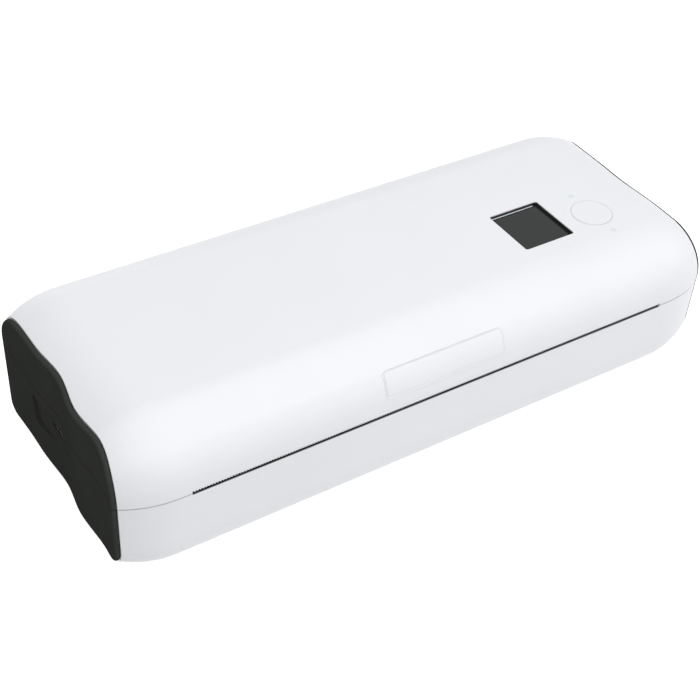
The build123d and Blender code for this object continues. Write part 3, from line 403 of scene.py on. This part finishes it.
# White pad-printed ink: a thin matt film.
deck_top = 38.6
mark_gap = 10.0
marks_each_side = 10
marks_per_long_one = 5
mark_width = 0.4
mark_front, mark_back = -25.6, -23.4
short_mark_inset = 0.9
ink_thickness = 0.03
white_ink, tree, place = start_material("white_pad_printed_ink")
tone = two_tones(tree, place, 2.0, "#DADBDC", "#C6C8C9")
grained(tree, place, tone, 0.3, (0.45, 0.60), 8, IOR=1.5)
shape = bmesh.new()
for mark in range(-marks_each_side, marks_each_side + 1):
    x = mark * mark_gap
    inset = 0.0 if mark % marks_per_long_one == 0 else short_mark_inset
    bar(shape, (x - mark_width / 2, mark_front + inset, deck_top),
        (x + mark_width / 2, mark_back, deck_top + ink_thickness))
fit_piece("centring_marks", shape, white_ink, "base")
# Polished clear polycarbonate: water clear, with a hard gloss.
lens_shares = (0.28, 0.72)
lens_dome = [(0.0, 0.3), (0.45, 0.26), (0.8, 0.14), (0.95, 0.0), (0.95, -0.2), (0.0, -0.2)]
lens_clear, tree, place = start_material("polished_clear_polycarbonate")
tone = two_tones(tree, place, 3.0, "#F4F6F7", "#E6E9EA")
grained(tree, place, tone, 0.5, (0.04, 0.10), 2, IOR=1.58, Transmission_Weight=0.85)
sensor_low, sensor_high = [corner * 1000 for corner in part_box("media_sensor")]
shape = bmesh.new()
for share in lens_shares:
    x = sensor_low.x + share * (sensor_high.x - sensor_low.x)
    y = (sensor_low.y + sensor_high.y) / 2
    spin(shape, lens_dome, Matrix.Translation((x, y, sensor_high.z)), 24)
fit_piece("sensor_lenses", shape, lens_clear, "base")

# Gears and bearings
# The roller's gear, the idler, the motor's pinion, the pinion of the roll guides, and the bearings:
# natural acetal, moulded, with a milky waxy skin that light enters a little way.
acetal, tree, place = start_material("natural_acetal_moulded")
tone = two_tones(tree, place, 5, "#ECEAE2", "#E2DFD4")
grained(tree, place, tone, 0.4, (0.25, 0.36), 6, IOR=1.48, Subsurface_Weight=0.15, Subsurface_Scale=0.002)
dress(acetal, "platen_gear", "idler_gear", "motor_pinion", "guide_pinion", "platen_bushing_left",
      "platen_bushing_right", "switch_plunger")

# Print frame, catch plates and roller brackets
# Folded and stamped sheet steel with clear zinc plating. Rolling leaves fine lines along the strip,
# and the plating adds a faint spangle of lighter and darker patches 3 mm across.
zinc_sheet, tree, place = start_material("zinc_plated_sheet_steel", (0.06, 1.0, 1.0))
tone = two_tones(tree, place, 3, "#B9BBBD", "#A5A8AB")
grained(tree, place, tone, 0.2, (0.28, 0.42), 8, soft_edge=0.15, Metallic=1.0)
dress(zinc_sheet, "mechanism_frame", "platen_carrier_left", "platen_carrier_right", "latch_strike_left",
      "latch_strike_right")
# The motor's can is deep drawn from the same steel, with marks running along the draw.
drawn_can, tree, place = start_material("drawn_steel_motor_can", (0.05, 1.0, 1.0))
tone = two_tones(tree, place, 2, "#8E9093", "#7A7C80")
grained(tree, place, tone, 0.2, (0.30, 0.45), 10, Metallic=1.0)
dress(drawn_can, "drive_motor")

# Shafts and pins
# Roller shaft, axles, head rod and hinge pins: centreless-ground steel rod. Grinding runs round the
# rod, so the lines are fine rings, drawn 0.3 mm apart, which draws the highlight out sideways.
ground_rod, tree, place = start_material("centreless_ground_steel_rod", (1.0, 0.08, 0.08))
tone = two_tones(tree, place, 1.5, "#C4C5C6", "#B4B5B7")
grained(tree, place, tone, 0.3, (0.14, 0.28), 4, Metallic=1.0)
dress(ground_rod, "platen_shaft", "idler_axle", "motor_shaft", "head_rod", "hinge_pin_left",
      "hinge_pin_right", "guide_axle")

# Motor screws
# Two short screws that hold the motor to the frame's side plate, heads outward. They are cold-headed
# steel with the same black zinc finish as the case screws.
motor_screw_face = 110.9
motor_screw_places = [(-37.41, 19.24), (-21.41, 19.24)]
facing_right = Matrix.Rotation(math.pi / 2, 4, "Y")
screws("motor_screws_detailed", "base", "motor_screws",
       [Matrix.Translation((motor_screw_face, y, z)) @ facing_right for y, z in motor_screw_places],
       head_radius=2.0, head_length=0.8, shank_length=4.5)

# Springs under the print head
# Three compression springs of drawn steel wire press the head up against the roller. Their ends are
# closed and ground flat; the wire keeps fine draw marks and a greyish phosphate tone.
head_spring_stations = (-60.0, 0.0, 60.0)
head_spring_y = -45.15
head_spring_low, head_spring_high = 31.5, 36.5
head_spring_radius = 2.1
head_spring_wire = 0.7
head_spring_turns = 4.5
steps_per_turn = 24
wire_sides = 10
closed_turns = 0.75


def coil(shape, place, radius, wire, length, turns):
    """Wound wire along the Z axis of a placing matrix, with its first and last turn closed."""
    steps = int(turns * steps_per_turn)
    free = length - wire * (1 + 2 * closed_turns)
    rings = []
    for step in range(steps + 1):
        turn = turns * step / steps
        if turn < closed_turns:
            height = wire * (0.5 + turn)
        elif turn > turns - closed_turns:
            height = length - wire * (0.5 + turns - turn)
        else:
            height = wire * (0.5 + closed_turns) + free * (turn - closed_turns) / (turns - 2 * closed_turns)
        angle = 2 * math.pi * turn
        outward = Vector((math.cos(angle), math.sin(angle), 0))
        centre = outward * radius + Vector((0, 0, height))
        ring = []
        for side in range(wire_sides):
            a = 2 * math.pi * side / wire_sides
            point = centre + outward * (wire / 2 * math.cos(a)) + Vector((0, 0, wire / 2 * math.sin(a)))
            ring.append(shape.verts.new(place @ point))
        rings.append(ring)
    for one, two in zip(rings, rings[1:]):
        for side in range(wire_sides):
            after = (side + 1) % wire_sides
            shape.faces.new((one[side], one[after], two[after], two[side]))
    shape.faces.new(rings[0])
    shape.faces.new(rings[-1])


spring_wire, tree, place = start_material("phosphated_spring_wire")
tone = two_tones(tree, place, 0.6, "#8B8C8D", "#747577")
grained(tree, place, tone, 0.12, (0.30, 0.42), 4, Metallic=1.0)
shape = bmesh.new()
for x in head_spring_stations:
    coil(shape, Matrix.Translation((x, head_spring_y, head_spring_low)), head_spring_radius,
         head_spring_wire, head_spring_high - head_spring_low, head_spring_turns)
head_coils = fit_piece("head_springs_wound", shape, spring_wire, "base", ["head_springs"])
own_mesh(head_coils)

# Print head
# A strip of glazed alumina on an aluminium bar. The heating line is a thin dark glaze right under
# the roller, and a black resin bead behind it covers the driver chips.
nip_y = -42.15
line_half = 0.45
line_height = 0.04
line_edge = 0.015
line_inset = 1.0
bead_front, bead_back = 3.2, 5.4
bead_height = 0.5
bead_edge = 0.3
bead_inset = 3.0
# Fired and glazed alumina: warm white with a glassy skin.
alumina, tree, place = start_material("glazed_alumina_strip")
tone = two_tones(tree, place, 12, "#D8D2C4", "#CFC8B8")
grained(tree, place, tone, 1.0, (0.12, 0.22), 3, IOR=1.65, Coat_Weight=0.5)
dress(alumina, "print_head")
# Extruded aluminium: pale, with die lines along the bar.
extruded_aluminium, tree, place = start_material("extruded_aluminium_bar", (0.03, 1.0, 1.0))
tone = two_tones(tree, place, 2, "#CDCED0", "#BCBEC1")
grained(tree, place, tone, 0.15, (0.26, 0.38), 8, soft_edge=0.2, Metallic=1.0)
dress(extruded_aluminium, "heat_sink")
head_low, head_high = [corner * 1000 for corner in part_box("print_head")]
# Fired glass glaze: dark brown and very smooth, so it mirrors the roller.
glaze, tree, place = start_material("dark_glass_glaze")
tone = two_tones(tree, place, 4, "#3A2C22", "#2E231B")
grained(tree, place, tone, 0.4, (0.06, 0.12), 2, IOR=1.52, Coat_Weight=0.6)
shape = bmesh.new()
bar(shape, (head_low.x + line_inset, nip_y - line_half, head_high.z),
    (head_high.x - line_inset, nip_y + line_half, head_high.z + line_height), line_edge)
fit_piece("heating_line", shape, glaze, "head")
# Potting resin: black and softly glossy, with a slow ripple from how it flowed and set.
resin, tree, place = start_material("black_potting_resin")
tone = two_tones(tree, place, 5, "#202124", "#18191B")
grained(tree, place, tone, 1.5, (0.18, 0.32), 30, IOR=1.52)
shape = bmesh.new()
bar(shape, (head_low.x + bead_inset, nip_y + bead_front, head_high.z),
    (head_high.x - bead_inset, nip_y + bead_back, head_high.z + bead_height), bead_edge)
fit_piece("driver_bead", shape, resin, "head")

# End caps
# Four dark cap halves, two on each end, clipped into the shells by a lip inside. Charcoal ABS from a
# finely textured tool, with a wavy face and a softly rounded edge.
# The deep texture traps light, so the caps show next to no reflection, only a soft lighter edge;
# its real grain of about 0.1 mm is drawn at 0.4 mm.
charcoal_abs, tree, place = start_material("charcoal_abs_textured_tool")
tone = two_tones(tree, place, 15, "#424441", "#3C3E3B")
grained(tree, place, tone, 0.4, (0.55, 0.70), 14, soft_edge=0.3, IOR=1.53, Specular_IOR_Level=0.0)
dress(charcoal_abs, "base_end_cap_left", "base_end_cap_right", "lid_end_cap_left", "lid_end_cap_right")

# Tear bar
# A thin strip of stainless steel behind the lid's lip, photo-etched to a row of small teeth that cut
# the label, with the toothed edge folded forward under the lip. Etching leaves a fine bright grain.
tooth_pitch = 1.11
tooth_count = 192
# Side outline of the strip from its top edge down to the fold and on to the teeth: (y, z) pairs of
# its front and back face, with the roots third and the tips last.
strip_front = [(-56.42, 44.3), (-56.42, 40.87), (-56.9, 40.66), (-57.3, 40.24)]
strip_back = [(-55.85, 44.3), (-55.85, 40.7), (-56.7, 40.4), (-57.27, 40.18)]
root_points, tip_points = 3, 4
etched_stainless, tree, place = start_material("etched_stainless_strip", (0.05, 1.0, 1.0))
tone = two_tones(tree, place, 2, "#CBCDCF", "#BDBFC2")
grained(tree, place, tone, 0.15, (0.30, 0.44), 5, Metallic=1.0)
shape = bmesh.new()
strip_left = -tooth_count * tooth_pitch / 2
columns = []
for step in range(2 * tooth_count + 1):
    x = strip_left + step * tooth_pitch / 2
    points = tip_points if step % 2 else root_points
    columns.append([[shape.verts.new((x, y, z)) for y, z in outline[:points]]
                    for outline in (strip_front, strip_back)])
for (front, back), (next_front, next_back) in zip(columns, columns[1:]):
    for here, there in ((front, next_front), (back, next_back)):
        for k in range(root_points - 1):
            shape.faces.new((here[k], there[k], there[k + 1], here[k + 1]))
        root, tip = sorted((here, there), key=len)
        shape.faces.new((tip[-2], root[-1], tip[-1]))
    shape.faces.new((front[0], back[0], next_back[0], next_front[0]))
    shape.faces.new((front[-1], next_front[-1], next_back[-1], back[-1]))
for front, back in (columns[0], columns[-1]):
    shape.faces.new(front + back[::-1])
fit_piece("tear_bar_toothed", shape, etched_stainless, "lid", ["tear_bar"])

# Roller
# The platen roller presses the label on the head: black silicone rubber bonded to its shaft and
# ground true. Grinding leaves fine rings 0.4 mm apart and a dull, slightly dusty skin.
ground_rubber, tree, place = start_material("ground_silicone_rubber", (1.0, 0.05, 0.05))
tone = two_tones(tree, place, 1.2, "#2A2B2B", "#222323")
grained(tree, place, tone, 0.4, (0.62, 0.80), 20, IOR=1.43)
dress(ground_rubber, "platen_roller")

# Latch
# The curved press panel in the lid's front is white ABS like the shell. Behind it a bar swings two
# hooks back from their catch plates, against two torsion springs wound on the bar.
latch_axis = (-43.25, 56.0)
latch_spring_start = 101.5
latch_spring_radius = 2.12
latch_spring_wire = 0.6
latch_spring_length = 4.6
latch_spring_turns = 6.5
leg_start, leg_end = 105.3, 106.1
leg_near, leg_far = 1.85, 2.45
leg_length = 5.5
leg_edge = 0.2
dress(white_abs, "latch_button")
shape = bmesh.new()
for side in (-1, 1):
    along_bar = Matrix.Rotation(side * math.pi / 2, 4, "Y")
    coil(shape, Matrix.Translation((side * latch_spring_start, *latch_axis)) @ along_bar,
         latch_spring_radius, latch_spring_wire, latch_spring_length, latch_spring_turns)
    low_x, high_x = sorted((side * leg_start, side * leg_end))
    bar(shape, (low_x, latch_axis[0] + leg_near, latch_axis[1] - leg_length),
        (high_x, latch_axis[0] + leg_far, latch_axis[1]), leg_edge)
fit_piece("latch_springs_wound", shape, spring_wire, "lid", ["latch_springs"])
# A thin white skirt fills most of the groove round the panel. Its rim stands 0.15 mm proud of the
# lid and slopes in to the panel, so it shows as a bright lip below. It is the same white ABS.
panel_middle = math.radians(28.3)
panel_size = (53.6, 10.35)
panel_corner = 2.0
panel_groove = 0.3
groove_share_filled = 0.95
longest_step = 1.0
corner_steps = 6
rim_overlap = 0.9
skirt_depths = (0.1, -0.15, 0.12, 0.9)
lid_curve_centre = Vector((0.0, -33.25, 40.5))
lid_curve_radius = 24.1


def rounded(width, length, corner):
    """Outline of a rounded rectangle about its middle, in order."""
    points = []
    for quarter, (sx, sy) in enumerate(((1, 1), (-1, 1), (-1, -1), (1, -1))):
        for step in range(corner_steps + 1):
            angle = math.pi / 2 * (quarter + step / corner_steps)
            points.append((sx * (width / 2 - corner) + corner * math.cos(angle),
                           sy * (length / 2 - corner) + corner * math.sin(angle)))
    return points


def refined(points, gap):
    """The same outline with more points on its long straight runs."""
    fine = []
    for one, two in zip(points, points[1:] + points[:1]):
        parts = max(1, math.ceil(math.dist(one, two) / gap))
        for k in range(parts):
            fine.append((one[0] + (two[0] - one[0]) * k / parts, one[1] + (two[1] - one[1]) * k / parts))
    return fine


def widened(points, size, margin):
    """The outline scaled so that its width and its length grow by a margin."""
    return [(u * (1 + margin / size[0]), v * (1 + margin / size[1])) for u, v in points]


def skirt(shape, outer, inner, levels, put):
    """Closed ring of outer foot, outer top, inner top and inner foot; put places a (u, v, level)."""
    loops = [[shape.verts.new(put(u, v, level)) for u, v in outline]
             for outline, level in zip((outer, outer, inner, inner), levels)]
    for one, two in zip(loops, loops[1:] + loops[:1]):
        for k in range(len(one)):
            after = (k + 1) % len(one)
            shape.faces.new((one[k], one[after], two[after], two[k]))


def on_lid_curve(u, v, depth):
    """Place on the lid's front curve, below its surface by the depth."""
    out = math.sqrt((lid_curve_radius - depth) ** 2 - v ** 2)
    up = Vector((0, math.sin(panel_middle), math.cos(panel_middle)))
    outward = Vector((0, -math.cos(panel_middle), math.sin(panel_middle)))
    return lid_curve_centre + Vector((u, 0, 0)) + up * v + outward * out


opening = refined(rounded(*panel_size, panel_corner), longest_step)
rim = widened(opening, panel_size, rim_overlap)
foot = widened(opening, panel_size, -2 * groove_share_filled * panel_groove)
shape = bmesh.new()
skirt(shape, rim, foot, skirt_depths, on_lid_curve)
fit_piece("latch_panel_skirt", shape, white_abs, "lid")

# Display
# A small dark panel under a smoked acrylic lens, set 1.4 mm down in a square opening. A black
# moulded surround lines the opening's walls, and a thin white strip at the back is a painted highlight, the
# glint along the lens's edge.
window_x, window_y = 70.3, -13.3
window_size = (24.4, 25.2)
window_corner = 1.0
lens_top, lid_top = 63.2, 64.6
surround_gap = 0.02
surround_wall = 0.35
surround_corner = 0.7
surround_drop = 0.3
surround_slope = 0.2
glint_left, glint_right = 11.7, 10.0
glint_front, glint_back = 0.5, 0.1
glint_height = 0.2
glint_bevel = 0.06
# Smoked acrylic: greenish grey and smooth as glass, so it darkens what lies under it.
smoked_acrylic, tree, place = start_material("smoked_acrylic_lens")
tone = two_tones(tree, place, 20, "#343836", "#2F3332")
grained(tree, place, tone, 1.5, (0.02, 0.05), 1, IOR=1.49, Transmission_Weight=0.4, Specular_IOR_Level=0.1)
dress(smoked_acrylic, "display_window")
# The panel is off: near black with a greenish cast, and a 0.5 mm dot matrix that barely shows.
dot_gap = 0.5
panel_glass, tree, place = start_material("unlit_dot_matrix_panel")
dots = add(tree, "ShaderNodeTexBrick", {
    "Vector": place, "Scale": per_mm(dot_gap), "Mortar Size": 0.06, "Color1": linear("#1B1D1A"),
    "Color2": linear("#1A1C1A"), "Mortar": linear("#232522"), "Row Height": 0.5}, offset=0.0)
grained(tree, place, dots.outputs["Color"], 0.5, (0.25, 0.35), 1, IOR=1.5, Specular_IOR_Level=0.1)
dress(panel_glass, "display_panel")
# Moulded polycarbonate of the surround: black, with a soft sheen from a finely ground tool.
black_polycarbonate, tree, place = start_material("black_polycarbonate_surround")
tone = two_tones(tree, place, 3, "#161716", "#101110")
grained(tree, place, tone, 0.3, (0.30, 0.42), 5, IOR=1.58, Specular_IOR_Level=0.3)
surround_outer = rounded(*(side - 2 * surround_gap for side in window_size), window_corner)
surround_inner = rounded(*(side - 2 * surround_wall for side in window_size), surround_corner)
shape = bmesh.new()
skirt(shape, surround_outer, surround_inner,
      (lens_top, lid_top - surround_drop, lid_top - surround_drop - surround_slope, lens_top),
      lambda u, v, z: Vector((window_x + u, window_y + v, z)))
fit_piece("display_surround", shape, black_polycarbonate, "lid")
# Milky acrylic that scatters light inside it, for the light pipes; the thin strip at the lens's back edge
# uses it as a painted highlight.
milky_acrylic_and_painted_glint, tree, place = start_material("milky_acrylic_and_painted_glint")
tone = two_tones(tree, place, 1.5, "#F1F2F4", "#EAECEE")
grained(tree, place, tone, 0.3, (0.20, 0.30), 2, IOR=1.49, Subsurface_Weight=0.3, Subsurface_Scale=0.001)
# Painted highlight: a white strip along the back of the lens stands in for its glint.
surround_back = window_y + window_size[1] / 2 - surround_wall
shape = bmesh.new()
bar(shape, (window_x - glint_left, surround_back - glint_front, lens_top),
    (window_x + glint_right, surround_back - glint_back, lens_top + glint_height),
    glint_bevel)
fit_piece("painted_lens_glint", shape, milky_acrylic_and_painted_glint, "lid")

# Power button and lights
# A round white button flush with the lid over a push switch, and two milky acrylic light pipes that
# show as faint dots before and behind it. A white collar in the gap leaves a shallow ring.
button_x, button_y = 98.0, -18.2
collar_outer, collar_inner = 8.745, 8.53
collar_foot = 63.6
collar_drop = 0.01
ring_depth = 0.18
circle_steps = 96
dress(white_abs, "power_button")
angles = [2 * math.pi * step / circle_steps for step in range(circle_steps)]
outer_circle, inner_circle = [
    [(radius * math.cos(a), radius * math.sin(a)) for a in angles] for radius in (collar_outer, collar_inner)]
collar_levels = (collar_foot, lid_top - collar_drop, lid_top - ring_depth, collar_foot)
shape = bmesh.new()
skirt(shape, outer_circle, inner_circle, collar_levels,
      lambda u, v, z: Vector((button_x + u, button_y + v, z)))
fit_piece("button_collar", shape, white_abs, "lid")
dress(milky_acrylic_and_painted_glint, "status_light", "charge_light")

# Lid board and liner screws
# The board screws are hidden between the board and its posts; the liner's four screws show their
# heads when the lid is open. All have the same black zinc finish.
liner_screw_places = [(-105.5, -26.25), (-105.5, 28.85), (105.5, 28.85), (36.1, -26.25)]
liner_screw_face = 53.3
dress(black_zinc, "board_screws")
screws("liner_screws_detailed", "lid", "liner_screws",
       [Matrix.Translation((x, y, liner_screw_face)) @ facing_down for x, y in liner_screw_places],
       head_radius=2.5, head_length=1.2, shank_length=6.0)

# Camera
# Seen from the front left and above, at the photograph's angle and framing. Places are in metres,
# and the focal length is in pixels of a square picture 700 pixels wide.
camera_azimuth = math.radians(-34.883)
camera_height = math.radians(40.840)
camera_roll = math.radians(-4.019)
camera_distance = 0.5485
camera_target = Vector((-0.01139, -0.00806, 0.02749))
focal_pixels = 1369.0
picture_pixels = 700
sensor_width = 36.0
backward = Vector((
    math.sin(camera_azimuth) * math.cos(camera_height),
    -math.cos(camera_azimuth) * math.cos(camera_height),
    math.sin(camera_height)))
level_right = (-backward).cross(Vector((0, 0, 1))).normalized()
level_down = (-backward).cross(level_right)
right = math.cos(camera_roll) * level_right + math.sin(camera_roll) * level_down
down = -math.sin(camera_roll) * level_right + math.cos(camera_roll) * level_down
camera = bpy.data.objects.new("camera", bpy.data.cameras.new("camera"))
camera.data.sensor_width = sensor_width
camera.data.lens = focal_pixels / picture_pixels * sensor_width
camera.data.clip_start = 0.01
turn = Matrix((right, -down, backward)).transposed().to_4x4()
camera.matrix_world = Matrix.Translation(camera_target + backward * camera_distance) @ turn
bpy.context.scene.collection.objects.link(camera)
bpy.context.scene.camera = camera

# Studio light
# One broad softbox overhead and one high in front, in a dim even room, with weak fills low in front,
# on the right and behind. The front curve comes out lightest, then the top, then the upright front.
room_strength = 0.23
room_aim = Vector((0.0, 0.0, 0.03))


def softbox(name, place, aim, size, power):
    """Rectangular lamp at a place in metres, turned to shine on what it aims at."""
    lamp = bpy.data.objects.new(name, bpy.data.lights.new(name, "AREA"))
    lamp.data.shape = "RECTANGLE"
    lamp.data.size, lamp.data.size_y = size
    lamp.data.energy = power
    lamp.location = place
    lamp.rotation_euler = (Vector(aim) - Vector(place)).to_track_quat("-Z", "Y").to_euler()
    bpy.context.scene.collection.objects.link(lamp)


softbox("overhead_softbox", (0.0, 0.05, 0.95), (0.0, 0.0, 0.05), (1.1, 0.9), 4.7)
softbox("front_softbox", (-0.05, -0.75, 0.8), room_aim, (1.3, 0.5), 4.3)
softbox("low_front_fill", (0.3, -1.05, 0.3), room_aim, (1.2, 0.4), 1.6)
softbox("right_fill", (0.9, -0.5, 0.6), room_aim, (0.7, 0.7), 1.3)
softbox("back_fill", (-0.2, 1.15, 0.35), room_aim, (1.2, 0.5), 2.0)
# The camera, glass and reflections see a white backdrop; everything else is lit by the dim room.
world = bpy.data.worlds.new("pale_room")
bpy.context.scene.world = world
world.use_nodes = True
tree = world.node_tree
tree.nodes.clear()
path = add(tree, "ShaderNodeLightPath")
through = add(tree, "ShaderNodeMath", {
    0: path.outputs["Is Camera Ray"], 1: path.outputs["Is Transmission Ray"]}, operation="MAXIMUM")
seen = add(tree, "ShaderNodeMath", {
    0: through.outputs[0], 1: path.outputs["Is Glossy Ray"]}, operation="MAXIMUM")
room = add(tree, "ShaderNodeBackground", {"Color": linear("#FFFFFF"), "Strength": room_strength})
backdrop = add(tree, "ShaderNodeBackground", {"Color": linear("#FFFFFF"), "Strength": 1.0})
both = add(tree, "ShaderNodeMixShader", {0: seen.outputs[0], 1: room.outputs[0], 2: backdrop.outputs[0]})
add(tree, "ShaderNodeOutputWorld", {"Surface": both.outputs[0]})

# Floor
# White background paper, matt. What the camera and reflections see of it is lifted to white, and the
# soft shadow under the object stays. It lies 0.2 mm under the feet, so that no faces coincide.
floor_half = 4.0
floor_drop = 0.2
floor_lift = 0.8
ground_mesh = bpy.data.meshes.new("studio_floor")
shape = bmesh.new()
bmesh.ops.create_grid(shape, x_segments=1, y_segments=1, size=floor_half)
shape.to_mesh(ground_mesh)
shape.free()
ground = bpy.data.objects.new("studio_floor", ground_mesh)
bpy.context.scene.collection.objects.link(ground)
ground.location.z = -floor_drop * millimetre
paper, tree, place = start_material("white_background_paper")
path = add(tree, "ShaderNodeLightPath")
fibres = two_tones(tree, place, 0.8, "#DCDCDC", "#D8D8D8")
pulp = add(tree, "ShaderNodeBsdfDiffuse", {"Color": fibres})
lift = add(tree, "ShaderNodeEmission", {"Color": linear("#FFFFFF"), "Strength": floor_lift})
lifted = add(tree, "ShaderNodeAddShader", {0: pulp.outputs[0], 1: lift.outputs[0]})
seen = add(tree, "ShaderNodeMath", {
    0: path.outputs["Is Camera Ray"], 1: path.outputs["Is Glossy Ray"]}, operation="MAXIMUM")
mixed = add(tree, "ShaderNodeMixShader", {0: seen.outputs[0], 1: pulp.outputs[0], 2: lifted.outputs[0]})
add(tree, "ShaderNodeOutputMaterial", {"Surface": mixed.outputs[0]})
ground.data.materials.append(paper)

bpy.context.scene.view_settings.view_transform = "Standard"
